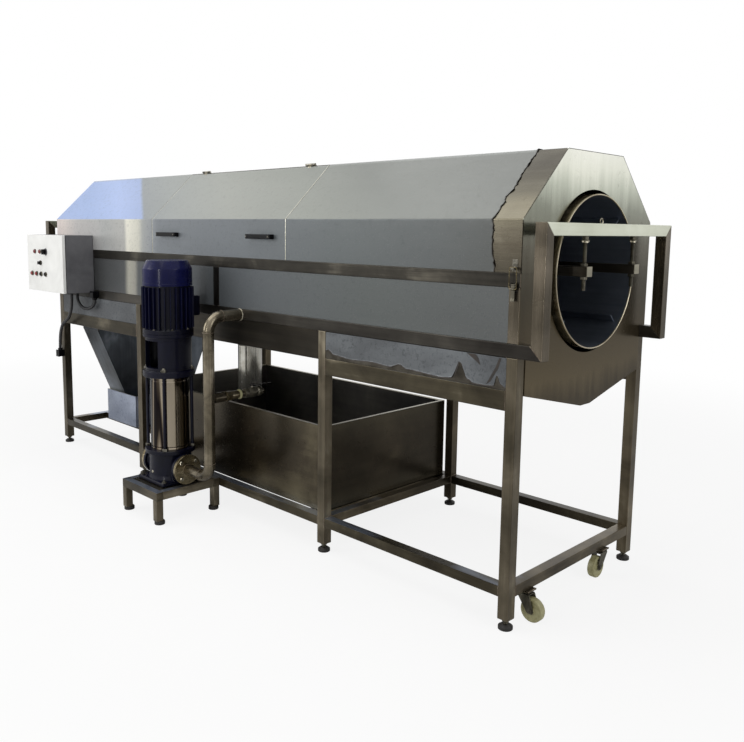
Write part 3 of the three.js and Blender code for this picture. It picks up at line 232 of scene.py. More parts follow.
def link(name: str, data: bpy.types.ID) -> bpy.types.Object:
    """Puts a mesh, a camera or a lamp into the scene."""
    made = bpy.data.objects.new(name, data)
    bpy.context.scene.collection.objects.link(made)
    return made


def settle_normals(made: bpy.types.Object) -> None:
    """Keeps flat faces flat beside their rounded edges."""
    modifier = made.modifiers.new("weighted", "WEIGHTED_NORMAL")
    modifier.keep_sharp = True
    modifier.weight = 100
    mesh = bpy.data.meshes.new_from_object(made.evaluated_get(bpy.context.evaluated_depsgraph_get()))
    made.modifiers.clear()
    made.data = mesh


def lay_grain(mesh: bpy.types.Mesh) -> None:
    """Gives a mesh a flat map whose first direction runs along the brushed lines of each part."""
    layer = mesh.uv_layers.new(name="grain")
    axes = mesh.attributes.get("grain_axis")
    for polygon in mesh.polygons:
        axis = axes.data[polygon.index].value if axes else 0
        if abs(polygon.normal[axis]) > 0.8:
            axis = (axis + 1) % 3
        along = Vector((0, 0, 0))
        along[axis] = 1.0
        across = polygon.normal.cross(along)
        for loop in polygon.loop_indices:
            place = mesh.vertices[mesh.loops[loop].vertex_index].co
            layer.data[loop].uv = (place.dot(along), place.dot(across))


class Stock:
    """Gathers the closed parts of one piece and turns them into one object."""

    def __init__(self, name: str, seed: int = 1) -> None:
        """Starts an empty piece with its own seed for the shade of each part."""
        self.name = name
        self.bm = bmesh.new()
        self.bm.faces.layers.int.new("grain_axis")
        self.bm.faces.layers.float.new("tone")
        self.random = random.Random(seed)

    def absorb(self, part: bmesh.types.BMesh, grain: Axis, slot: int | None = 0, shade: float | None = None) -> None:
        """Adds a part, with its faces turned outwards.

        Args:
            part: the part's mesh, which is used up.
            grain: the direction of its brushed lines.
            slot: the material's place in the piece's list, or none where its faces know theirs.
            shade: its tone, drawn at random unless told.
        """
        bmesh.ops.recalc_face_normals(part, faces=part.faces)
        axes = part.faces.layers.int.new("grain_axis")
        tones = part.faces.layers.float.new("tone")
        shade = self.random.random() if shade is None else shade
        for face in part.faces:
            face[axes] = grain.value
            face[tones] = shade
            face.material_index = face.material_index if slot is None else slot
        mesh = bpy.data.meshes.new("part")
        part.to_mesh(mesh)
        part.free()
        self.bm.from_mesh(mesh)
        bpy.data.meshes.remove(mesh)

    def bevel(self, part: bmesh.types.BMesh, edges: Sequence[bmesh.types.BMEdge], width: float, steps: int) -> None:
        """Rounds some edges of a part."""
        if width > 0:
            bmesh.ops.bevel(part, geom=edges, offset=width, segments=steps, profile=0.5, affect="EDGES",
                            clamp_overlap=True)

    def eight(self, corners: Sequence[Vector], edge: float, grain: Axis, slot: int = 0, steps: int = 2) -> None:
        """Adds a block from eight corners, lower four then upper four, with rounded edges."""
        part = bmesh.new()
        verts = [part.verts.new(c) for c in corners]
        for face in ("3210", "4567", "0154", "1265", "2376", "3047"):
            part.faces.new([verts[int(i)] for i in face])
        self.bevel(part, part.edges[:], edge, steps)
        self.absorb(part, grain, slot)

    def bar(self, x: Span, y: Span, z: Span, edge: float = 2.0, grain: Axis | None = None, slot: int = 0,
            steps: int = 2) -> None:
        """Adds a straight bar with rounded edges, brushed along its longest side unless told."""
        corners = [Vector((x[i], y[j], z[k])) for k in (0, 1) for i, j in ((0, 0), (1, 0), (1, 1), (0, 1))]
        longest = max(Axis, key=lambda axis: (x, y, z)[axis.value][1] - (x, y, z)[axis.value][0])
        self.eight(corners, edge, grain or longest, slot, steps)

    def prism(self, outline: Sequence[Flat], axis: Axis, span: Span, grain: Axis | None = None, edge: float = 0.0,
              slot: int = 0, steps: int = 1) -> None:
        """Adds a flat outline drawn out along an axis."""
        part = bmesh.new()
        low, high = ([part.verts.new(lift(axis, a, b, at)) for a, b in outline] for at in span)
        part.faces.new(low)
        part.faces.new(high[::-1])
        for i in range(len(outline)):
            j = (i + 1) % len(outline)
            part.faces.new((low[i], low[j], high[j], high[i]))
        if edge > 0:
            bmesh.ops.recalc_face_normals(part, faces=part.faces)
            self.bevel(part, [e for e in part.edges if e.calc_face_angle(0) > math.radians(30)], edge, steps)
        self.absorb(part, grain or axis, slot)

    def plate(self, outline: Sequence[Flat], holes: Sequence[Sequence[Flat]], span: Span, grain: Axis) -> None:
        """Adds a flat plate across X, with holes."""
        part = bmesh.new()
        edges = []
        for loop in (outline, *holes):
            verts = [part.verts.new((span[0], a, b)) for a, b in loop]
            edges += [part.edges.new((a, b)) for a, b in zip(verts, verts[1:] + verts[:1])]
        bmesh.ops.triangle_fill(part, use_beauty=True, edges=edges)
        bmesh.ops.dissolve_limit(part, angle_limit=0.01, verts=part.verts, edges=part.edges)
        made = bmesh.ops.extrude_face_region(part, geom=part.faces[:])
        moved = [g for g in made["geom"] if isinstance(g, bmesh.types.BMVert)]
        bmesh.ops.translate(part, verts=moved, vec=(span[1] - span[0], 0, 0))
        self.absorb(part, grain)

    def sheet(self, line: Sequence[Flat], span: Span, thickness: float, bend: float, grain: Axis = X,
              slot: int = 0) -> None:
        """Adds a sheet folded along X, which lies to the left of an open line of y and z."""
        inner = rounded_line(offset_line(line, thickness), max(bend - thickness, 0.5))
        self.prism(rounded_line(line, bend) + inner[::-1], X, span, grain, slot=slot)

    def turned(self, profile: Sequence[Flat], centre: Flat, axis: Axis = Z, sides: int = 48, slot: int = 0) -> None:
        """Adds a turned body.

        Args:
            profile: radius and place along the axis, from axis to axis or as a closed loop.
            centre: the other two places of the axis.
            axis: the turning axis.
            sides: steps of the turn.
            slot: the material's place in the piece's list.
        """
        part = bmesh.new()
        rings = []
        for radius, along in profile:
            section = arc(centre, radius, 0.0, 360.0, sides)[:-1] if radius > 0 else [centre]
            rings.append([part.verts.new(lift(axis, a, b, along)) for a, b in section])
        hollow = len(rings[0]) > 1
        for low, high in zip(rings, rings[1:] + rings[:1] if hollow else rings[1:]):
            for i in range(sides):
                j = (i + 1) % sides
                corners = (low[i % len(low)], low[j % len(low)], high[j % len(high)], high[i % len(high)])
                part.faces.new(list(dict.fromkeys(corners)))
        self.absorb(part, axis, slot)

    def disc(self, radius: float, span: Span, centre: Flat, axis: Axis = Z, sides: int = 40, edge: float = 1.0,
             bore: float = 0.0, slot: int = 0) -> None:
        """Adds a round or six-sided plate, rod, nut or ring with broken edges."""
        low, high = span
        rim = [(radius - edge, low), (radius, low + edge), (radius, high - edge), (radius - edge, high)]
        self.turned([(bore, low), *(rim if edge else rim[1:3]), (bore, high)], centre, axis, sides, slot)

    def swept(self, route: Sequence[Vector], radius: float | Callable[[float], float], sides: int, slot: int = 0,
              grain: Axis = X) -> None:
        """Adds a round bar along a route.

        Args:
            route: the centre line.
            radius: one radius, or a function of the length from the start.
            sides: corners of the section.
            slot: the material's place in the piece's list.
            grain: the direction of its brushed lines.
        """
        part = bmesh.new()
        rings = []
        side = (route[1] - route[0]).normalized().orthogonal().normalized()
        run = 0.0
        for i, point in enumerate(route):
            run += (point - route[max(i - 1, 0)]).length
            along = (route[min(i + 1, len(route) - 1)] - route[max(i - 1, 0)]).normalized()
            side = (side - along * side.dot(along)).normalized()
            other = along.cross(side)
            reach = radius(run) if callable(radius) else radius
            rings.append([part.verts.new(point + (side * math.cos(t) + other * math.sin(t)) * reach)
                          for t in spread((0.0, 2 * math.pi), sides)[:-1]])
        for low, high in zip(rings, rings[1:]):
            for i in range(sides):
                part.faces.new((low[i], low[(i + 1) % sides], high[(i + 1) % sides], high[i]))
        part.faces.new(rings[0][::-1])
        part.faces.new(rings[-1])
        self.absorb(part, grain, slot)

    def recolour(self, slot: int, test: Callable[[Vector, Vector], bool]) -> None:
        """Gives a material place to the faces whose centre and normal pass a test, in the drawing."""
        self.bm.normal_update()
        for face in self.bm.faces:
            if test(face.calc_center_median(), face.normal):
                face.material_index = slot

    def open_box(self, box: tuple[Span, Span, Span], open_side: tuple[Axis, int] = (Z, 1), edge: float = 0.8,
                 sheet: float = 3.0) -> None:
        """Adds a sheet box with one side left open.

        Args:
            box: its spans along X, Y and Z.
            open_side: the axis of the open side, with 0 for its low end and 1 for its high end.
            edge: width of the rounded edges.
            sheet: the sheet's thickness.
        """
        for axis in Axis:
            for end, face in enumerate(box[axis.value]):
                if (axis, end) != open_side:
                    wall = list(box)
                    wall[axis.value] = (face - sheet, face) if end else (face, face + sheet)
                    self.bar(*wall, edge=edge, grain=Y if axis is X else X)

    def finish(self, looks: Sequence[Look], slot: str, *replaces: str, body: str = "frame",
               crease: float = 32.0) -> bpy.types.Object:
        """Makes the object, in place and in metres, and tells the frame about it.

        Args:
            looks: the piece's finishes, in slot order.
            slot: the record's material slot; not used.
            replaces: the CAD nodes that it stands for.
            body: the body that the piece rides on.
            crease: faces that meet at more than this many degrees keep a sharp edge.

        Returns:
            The finished object.
        """
        self.bm.transform(Matrix.Scale(MM, 4) @ Matrix.Translation(SHIFT))
        mesh = bpy.data.meshes.new(self.name)
        self.bm.to_mesh(mesh)
        self.bm.free()
        for look in looks:
            mesh.materials.append(look.material)
        lay_grain(mesh)
        mesh.shade_smooth()
        mesh.set_sharp_from_angle(angle=math.radians(crease))
        made = link(self.name, mesh)
        settle_normals(made)
        keep(made, body)
        if replaces:
            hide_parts(*replaces)
        return made


class Tree:
    """A node tree, with one short call for a node and all that goes into it."""

    def __init__(self, tree: bpy.types.NodeTree) -> None:
        """Keeps the tree."""
        self.tree = tree

    def put(self, into: Socket, value: object) -> None:
        """Joins an input to a socket, or gives it a plain value."""
        if isinstance(value, Socket):
            self.tree.links.new(value, into)
        else:
            into.default_value = value

    def node(self, kind: str, into: dict[int | str, object] | None = None, out: int | str = 0,
             **values: object) -> Socket:
        """Adds a node.

        Args:
            kind: the node's type name.
            into: sockets, lists of sockets or plain values for its inputs, by name or number.
            out: name or number of the output.
            values: its properties by name.

        Returns:
            The output.
        """
        made = self.tree.nodes.new(kind)
        for name, value in values.items():
            setattr(made, name, value)
        for key, value in (into or {}).items():
            for each in value if isinstance(value, list) else [value]:
                self.put(made.inputs[key], each)
        return made.outputs[out]

    def sum(self, operation: str, *terms: Socket | float, clamp: bool = False) -> Socket:
        """A sum of sockets or numbers."""
        return self.node("ShaderNodeMath", dict(enumerate(terms)), operation=operation, use_clamp=clamp)

    def times(self, first: Socket | float, second: Socket | float) -> Socket:
        """A product."""
        return self.sum("MULTIPLY", first, second)

    def line(self, value: Socket, slope: float, start: Socket | float, clamp: bool = False) -> Socket:
        """A value times a slope, on top of a start."""
        return self.sum("MULTIPLY_ADD", value, slope, start, clamp=clamp)


class Pattern(Tree):
    """A Geometry Nodes tree with named sizes, run once on a carrier and kept as a plain mesh."""

    kinds = {float: "NodeSocketFloat", int: "NodeSocketInt", tuple: "NodeSocketVector"}

    def __init__(self, name: str, **sizes: float | int | Point) -> None:
        """Starts a tree with geometry in and out, a material and its named sizes."""
        super().__init__(bpy.data.node_groups.new(name, "GeometryNodeTree"))
        ends = self.tree.interface
        for way in ("INPUT", "OUTPUT"):
            ends.new_socket("Geometry", in_out=way, socket_type="NodeSocketGeometry")
        made = ends.new_socket("Material", in_out="INPUT", socket_type="NodeSocketMaterial")
        self.keys = {"Material": made.identifier}
        for size, value in sizes.items():
            made = ends.new_socket(size, in_out="INPUT", socket_type=self.kinds[type(value)])
            made.default_value = value
            self.keys[size] = made.identifier
        self.entry = self.tree.nodes.new("NodeGroupInput")

    def __getitem__(self, name: str) -> Socket:
        """The socket of a named input."""
        return self.entry.outputs[name]

    def close(self, geometry: Socket, smooth: bool = False) -> Pattern:
        """Ends the tree with real geometry, its shading and its material, and gives it back."""
        last = self.node("GeometryNodeRealizeInstances", {0: geometry})
        if smooth:
            last = self.node("GeometryNodeSetShadeSmooth", {"Geometry": last})
        last = self.node("GeometryNodeSetMaterial", {"Geometry": last, "Material": self["Material"]})
        self.put(self.tree.nodes.new("NodeGroupOutput").inputs[0], last)
        return self

    def run(self, name: str, points: Sequence[Vector], look: Look, slot: str, body: str = "frame",
            edges: Sequence[tuple[int, int]] = (), **sizes: float | int | Point) -> None:
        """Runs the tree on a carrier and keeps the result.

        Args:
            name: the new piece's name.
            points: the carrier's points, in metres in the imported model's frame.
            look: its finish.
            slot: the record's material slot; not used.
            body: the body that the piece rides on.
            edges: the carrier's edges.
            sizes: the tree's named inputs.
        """
        mesh = bpy.data.meshes.new(name + "_carrier")
        mesh.from_pydata([p[:] for p in points], list(edges), [])
        carrier = link(name + "_carrier", mesh)
        modifier = carrier.modifiers.new("pattern", "NODES")
        modifier.node_group = self.tree
        for size, value in {"Material": look.material, **sizes}.items():
            modifier[self.keys[size]] = value
        mesh = bpy.data.meshes.new_from_object(carrier.evaluated_get(bpy.context.evaluated_depsgraph_get()))
        bpy.data.objects.remove(carrier)
        mesh.name = name
        lay_grain(mesh)
        mesh.set_sharp_from_angle(angle=math.radians(35))
        keep(link(name, mesh), body)


@cache
def weld_pattern() -> Pattern:
    """A run of overlapping weld ripples along the carrier's edges."""
    made = Pattern("weld_ripples", Pitch=0.003, Width=0.003)
    curve = made.node("GeometryNodeMeshToCurve", {0: made["Geometry"]})
    points = made.node("GeometryNodeResampleCurve", {"Curve": curve, "Length": made["Pitch"]}, mode="LENGTH")
    bead = made.node("GeometryNodeMeshIcoSphere", {"Radius": 1.0, "Subdivisions": 2})
    uneven = made.node("FunctionNodeRandomValue", {2: 0.8, 3: 1.25, "Seed": 7}, 1, data_type="FLOAT")
    wide = made.times(made["Width"], uneven)
    size = made.node("ShaderNodeCombineXYZ", {0: wide, 1: wide, 2: made["Width"]})
    return made.close(made.node("GeometryNodeInstanceOnPoints", {"Points": points, "Instance": bead, "Scale": size}),
                      smooth=True)


@cache
def bolt_pattern() -> Pattern:
    """A hexagon head on a washer, with a stud's end, at each point of the carrier, all turned one way."""
    made = Pattern("hexagon_bolts", Radius=0.006, Height=0.005, Turn=(0.0, 0.0, 0.0))
    parts = []
    for sides, wide, tall, at in ((6, 1.0, 1.0, 0.62), (20, 1.35, 0.3, 0.15), (12, 0.5, 1.7, 0.85)):
        part = made.node("GeometryNodeMeshCylinder", {
            "Vertices": sides, "Radius": made.times(made["Radius"], wide), "Depth": made.times(made["Height"], tall)})
        place = made.node("ShaderNodeCombineXYZ", {2: made.times(made["Height"], at)})
        parts.append(made.node("GeometryNodeTransform", {"Geometry": part, "Translation": place}))
    whole = made.node("GeometryNodeJoinGeometry", {0: parts})
    turn = made.node("FunctionNodeEulerToRotation", {0: made["Turn"]})
    return made.close(made.node("GeometryNodeInstanceOnPoints", {
        "Points": made["Geometry"], "Instance": whole, "Rotation": turn}))


@cache
def fin_pattern() -> Pattern:
    """Upright rounded fins round the vertical axis of each point of the carrier."""
    made = Pattern("upright_fins", Count=28, Radius=0.13, Depth=0.02, Thickness=0.004, Height=0.2)
    circle = made.node("GeometryNodeMeshCircle", {"Vertices": made["Count"], "Radius": made["Radius"]})
    line = made.node("GeometryNodeCurvePrimitiveQuadrilateral", {"Width": made["Depth"], "Height": made["Thickness"]})
    soft = made.node("GeometryNodeFilletCurve", {
        "Curve": line, "Count": 3, "Radius": made.times(made["Thickness"], 0.45)}, mode="POLY")
    face = made.node("GeometryNodeFillCurve", {0: soft})
    tall = made.node("GeometryNodeExtrudeMesh", {
        "Mesh": face, "Offset Scale": made["Height"], "Individual": False})
    fin = made.node("GeometryNodeJoinGeometry", {0: [tall, made.node("GeometryNodeFlipFaces", {0: face})]})
    step = made.sum("DIVIDE", 2 * math.pi, made["Count"])
    turn = made.node("ShaderNodeCombineXYZ", {2: made.times(made.node("GeometryNodeInputIndex"), step)})
    angle = made.node("FunctionNodeEulerToRotation", {0: turn})
    ring = made.node("GeometryNodeInstanceOnPoints", {"Points": circle, "Instance": fin, "Rotation": angle})
    return made.close(made.node("GeometryNodeInstanceOnPoints", {"Points": made["Geometry"], "Instance": ring}))


def ink(code: str) -> tuple[float, float, float, float]:
    """A linear colour from a display code of six hexadecimal digits, such as "8a8278"."""
    parts = [int(code[i:i + 2], 16) / 255 for i in (0, 2, 4)]
    linear = [c / 12.92 if c <= 0.04045 else ((c + 0.055) / 1.055) ** 2.4 for c in parts]
    return (linear[0], linear[1], linear[2], 1.0)


class Finish(Tree):
    """A material's node tree, with short calls for the nodes that the finishes share."""

    def __init__(self, name: str) -> None:
        """Starts a material with one shader."""
        self.material = bpy.data.materials.new(name)
        self.material.use_nodes = True
        super().__init__(self.material.node_tree)
        self.shader = self.tree.nodes["Principled BSDF"].inputs

    def scaled(self, vector: Socket, stretch: Point) -> Socket:
        """A vector stretched along its axes."""
        return self.node("ShaderNodeVectorMath", {0: vector, 1: stretch}, operation="MULTIPLY")

    def place(self, stretch: Point = (1, 1, 1), shift: Point = (0, 0, 0)) -> Socket:
        """Object coordinates, moved and then stretched."""
        source = self.node("ShaderNodeTexCoord", out="Object")
        return self.scaled(self.node("ShaderNodeVectorMath", {0: source, 1: shift}, operation="ADD"), stretch)

    def brushed(self, along: float, across: float) -> Socket:
        """The piece's grain map, stretched along and across the brushed lines."""
        return self.scaled(self.node("ShaderNodeUVMap", uv_map="grain"), (along, across, 1))

    def noise(self, vector: Socket, scale: float, detail: float = 3.0, rough: float = 0.5,
              twist: float = 0.0) -> Socket:
        """A cloudy value from zero to one."""
        return self.node("ShaderNodeTexNoise", {
            "Vector": vector, "Scale": scale, "Detail": detail, "Roughness": rough, "Distortion": twist})

    def ramp(self, value: Socket, text: str) -> Socket:
        """Colours along a value: evenly spaced codes, or each code behind its own place and a colon."""
        words = [word.split(":") for word in text.split()]
        made = self.node("ShaderNodeValToRGB", {0: value})
        steps = made.node.color_ramp.elements
        while len(steps) < len(words):
            steps.new(0.5)
        for i, (step, word) in enumerate(zip(steps, words)):
            step.position = float(word[0]) if len(word) > 1 else i / (len(words) - 1)
            step.color = ink(word[-1])
        return made

    def between(self, value: Socket, low: float, high: float, to: Span = (0.0, 1.0), kind: str = "LINEAR") -> Socket:
        """A value moved from one range to another and kept inside it."""
        return self.node("ShaderNodeMapRange", {
            "Value": value, "From Min": low, "From Max": high, "To Min": to[0], "To Max": to[1]},
            clamp=True, interpolation_type=kind)

    def blend(self, share: Socket | float, first: Socket, second: Socket | str) -> Socket:
        """Two colours blended, where the second may be a display code."""
        second = ink(second) if isinstance(second, str) else second
        return self.node("ShaderNodeMix", {0: share, 6: first, 7: second}, 2, data_type="RGBA")

    def axis(self, which: Axis) -> Socket:
        """One object coordinate, in metres."""
        source = self.node("ShaderNodeTexCoord", out="Object")
        return self.node("ShaderNodeSeparateXYZ", {0: source}, which.value)

    def upward(self) -> Socket:
        """How far a face looks up."""
        return self.node("ShaderNodeSeparateXYZ", {0: self.node("ShaderNodeNewGeometry", out="Normal")}, 2)

    def bump(self, height: Socket, strength: float, distance: float) -> None:
        """Gives the shader a relief, on top of one that it has."""
        into = {"Strength": strength, "Distance": distance, "Height": height}
        before = self.shader["Normal"].links
        if before:
            into["Normal"] = before[0].from_socket
        self.set(Normal=self.node("ShaderNodeBump", into))

    def set(self, **values: Socket | float) -> None:
        """Gives the shader its values, with underscores for spaces."""
        for name, value in values.items():
            self.put(self.shader[name.replace("_", " ")], value)


@dataclass(frozen=True)
class Steel:
    """Brushed stainless steel, with fine lines and worn-in stains; its tones, soft patches and long streaks along the
    grain also paint the reflections of its surroundings.
    """

    name: str
    tones: str
    patch: float = 2.2
    streak: float = 0.35
    gloss: float = 0.32
    metal: float = 0.85
    shift: Point = (0.0, 0.0, 0.0)
    # The ramp by height paints a reflection gradient over the tones; the sky glints are painted bluish reflections on
    # faces that look up.
    painted_reflection: str = ""
    painted_reflection_span: Span = (0.0, 1.9)
    painted_reflection_share: float = 0.8
    painted_sky_glint: float = 0.0

    def build(self) -> bpy.types.Material:
        """Makes the material."""
        make = Finish(self.name)
        lines = make.noise(make.brushed(5.0, 620.0), 1.0, 2.0, 0.6)
        streaks = make.noise(make.brushed(0.8, 26.0), 1.0, 3.0, 0.55, 0.3)
        patches = make.noise(make.place(shift=self.shift), self.patch, 4.0, 0.55, 0.5)
        shade = make.line(streaks, self.streak, make.times(patches, 0.9 - self.streak))
        shade = make.line(make.node("ShaderNodeAttribute", out="Fac", attribute_name="tone"), 0.16, shade)
        tones = make.ramp(make.between(make.line(lines, 0.1, shade), 0.34, 0.80), self.tones)
        # Painted reflection: tones by height, blended over the steel's own.
        if self.painted_reflection:
            wave = make.line(patches, 0.16, make.between(make.axis(Z), *self.painted_reflection_span))
            wave = make.line(streaks, 0.10, make.sum("SUBTRACT", wave, 0.13))
            tones = make.blend(self.painted_reflection_share, tones, make.ramp(wave, self.painted_reflection))
        stains = make.between(make.noise(make.place(), 38.0, 5.0, 0.7), 0.60, 0.74)
        tones = make.blend(make.times(stains, 0.22), tones, self.tones[:6])
        # Painted reflection of the sky: bluish glints on faces that look up.
        if self.painted_sky_glint:
            glint = make.between(make.noise(make.place((1.0, 2.0, 1.0), (0.4, 0.0, 0.0)), 1.9, 2.0), 0.50, 0.60)
            glint = make.times(glint, make.between(make.upward(), 0.9, 1.0, (0.0, self.painted_sky_glint)))
            tones = make.blend(glint, tones, "b9c8e2")
        rough = make.line(stains, 0.12, make.line(lines, 0.14, self.gloss - 0.07), clamp=True)
        make.set(Base_Color=tones, Roughness=rough, Metallic=self.metal, Specular_IOR_Level=0.5)
        make.bump(lines, 0.10, 0.0003)
        make.bump(patches, 0.12, 0.004)
        return make.material


@dataclass(frozen=True)
class Film:
    """Steel sheet under a thin protective film, with air under it, dust and rubbed places.

    The glare is a painted reflection of what the sheet mirrors along the machine. It slants, and lies only in front of
    a place along Y.
    """

    name: str
    tones: str
    streak: str
    patch: float = 1.6
    glare: str = ""
    slant: float = 0.0
    front: float = 1.0
    bubble: float = 0.25

    def build(self) -> bpy.types.Material:
        """Makes the material."""
        make = Finish(self.name)
        patches = make.noise(make.place((0.55, 1.0, 1.0)), self.patch, 4.0, 0.5, 0.4)
        sweep = make.noise(make.place((0.8, 3.0, 3.0), (3.1, 0.0, 0.7)), 1.4, 2.0, 0.5, 0.8)
        shade = make.sum("ADD", make.times(patches, 0.6), make.times(sweep, 0.4))
        tones = make.ramp(make.between(shade, 0.32, 0.68), self.tones)
        # Painted reflection: the glare's ramp blended over the film's tones.
        if self.glare:
            wave = make.between(make.line(make.axis(Y), self.slant, make.axis(X)), -2.0, 2.0)
            wave = make.line(make.sum("SUBTRACT", patches, 0.5), 0.012, wave)
            share = make.between(make.axis(Y), self.front, self.front + 0.02, (0.82, 0.0))
            tones = make.blend(share, tones, make.ramp(wave, self.glare))
        air = make.between(make.noise(make.place(), 46.0, 4.0, 0.65, 1.2), 0.52, 0.70)
        tones = make.blend(make.times(air, self.bubble), tones, self.streak)
        cells = make.node("ShaderNodeTexVoronoi", {"Vector": make.place(), "Scale": 95.0}, "Distance")
        tones = make.blend(make.times(make.between(cells, 0.0, 0.16, (1.0, 0.0)), 0.14), tones, "e8e8e4")
        rubs = make.between(make.noise(make.brushed(2.0, 60.0), 1.0, 3.0, 0.7), 0.58, 0.75)
        tones = make.blend(make.times(rubs, 0.16), tones, self.streak)
        make.set(Base_Color=tones, Roughness=make.line(air, 0.16, 0.38), Metallic=0.3, Coat_Weight=0.18,
                 Coat_Roughness=0.14, Specular_IOR_Level=0.35)
        make.bump(air, 0.22, 0.0012)
        make.bump(patches, 0.18, 0.01)
        return make.material


@dataclass(frozen=True)
class Paint:
    """Gloss paint on a casting or a pressed sheet, with orange peel, dust on top and rubbed edges."""

    name: str
    tones: str
    dust: str
    gloss: float = 0.2
    grain: float = 0.25
    dusty: float = 0.35

    def build(self) -> bpy.types.Material:
        """Makes the material."""
        make = Finish(self.name)
        cloud = make.noise(make.place(), 7.0, 4.0, 0.55, 0.4)
        tones = make.ramp(make.between(cloud, 0.3, 0.72), self.tones)
        fine = make.between(make.noise(make.place(), 120.0, 4.0, 0.7), 0.4, 0.7)
        settled = make.times(make.times(make.between(make.upward(), 0.55, 1.0), fine), self.dusty)
        tones = make.blend(settled, tones, self.dust)
        nicks = make.between(make.noise(make.place(), 210.0, 3.0, 0.6), 0.70, 0.76)
        tones = make.blend(make.times(nicks, 0.5), tones, self.dust)
        make.set(Base_Color=tones, Roughness=make.line(cloud, 0.14, make.line(settled, 0.4, self.gloss)),
                 Metallic=0.0, Coat_Weight=0.12, Coat_Roughness=0.06, Specular_IOR_Level=0.14)
        make.bump(make.noise(make.place(), 340.0, 2.0), self.grain, 0.0004)
        return make.material


@dataclass(frozen=True)
class Moulded:
    """Moulded plastic or rubber, with a fine spark texture, dust and scuffs."""

    name: str
    shade: str
    worn: str
    gloss: float = 0.4
    grain: float = 0.2
    shine: float = 0.5

    def build(self) -> bpy.types.Material:
        """Makes the material."""
        make = Finish(self.name)
        cloud = make.noise(make.place(), 24.0, 4.0, 0.6, 0.3)
        tones = make.ramp(make.between(cloud, 0.38, 0.78), f"{self.shade} {self.worn}")
        scuff = make.between(make.noise(make.place((1, 1, 3)), 160.0, 3.0, 0.6), 0.62, 0.72)
        make.set(Base_Color=make.blend(make.times(scuff, 0.35), tones, self.worn),
                 Roughness=make.line(cloud, 0.2, self.gloss - 0.1), Metallic=0.0, Specular_IOR_Level=self.shine)
        make.bump(make.noise(make.place(), 900.0, 2.0), self.grain, 0.0003)
        return make.material


@dataclass(frozen=True)
class Mirror:
    """Polished steel round an upright axis, with painted reflections: the dark and tan upright bands of its
    surroundings.
    """

    name: str
    centre: Flat
    bands: str

    def build(self) -> bpy.types.Material:
        """Makes the material."""
        make = Finish(self.name)
        shift = row(*self.centre, 0.0)
        # Painted reflection: upright bands round the axis.
        band = make.noise(make.place((1.0, 1.0, 0.05), (-shift.x, -shift.y, 0.0)), 15.0, 0.6, 0.4)
        smear = make.noise(make.place((1, 1, 6)), 30.0, 3.0, 0.6)
        make.set(Base_Color=make.ramp(make.between(band, 0.28, 0.72), self.bands),
                 Roughness=make.line(smear, 0.12, 0.09), Metallic=1.0)
        make.bump(make.noise(make.place((1, 1, 40)), 14.0, 2.0), 0.05, 0.0005)
        return make.material


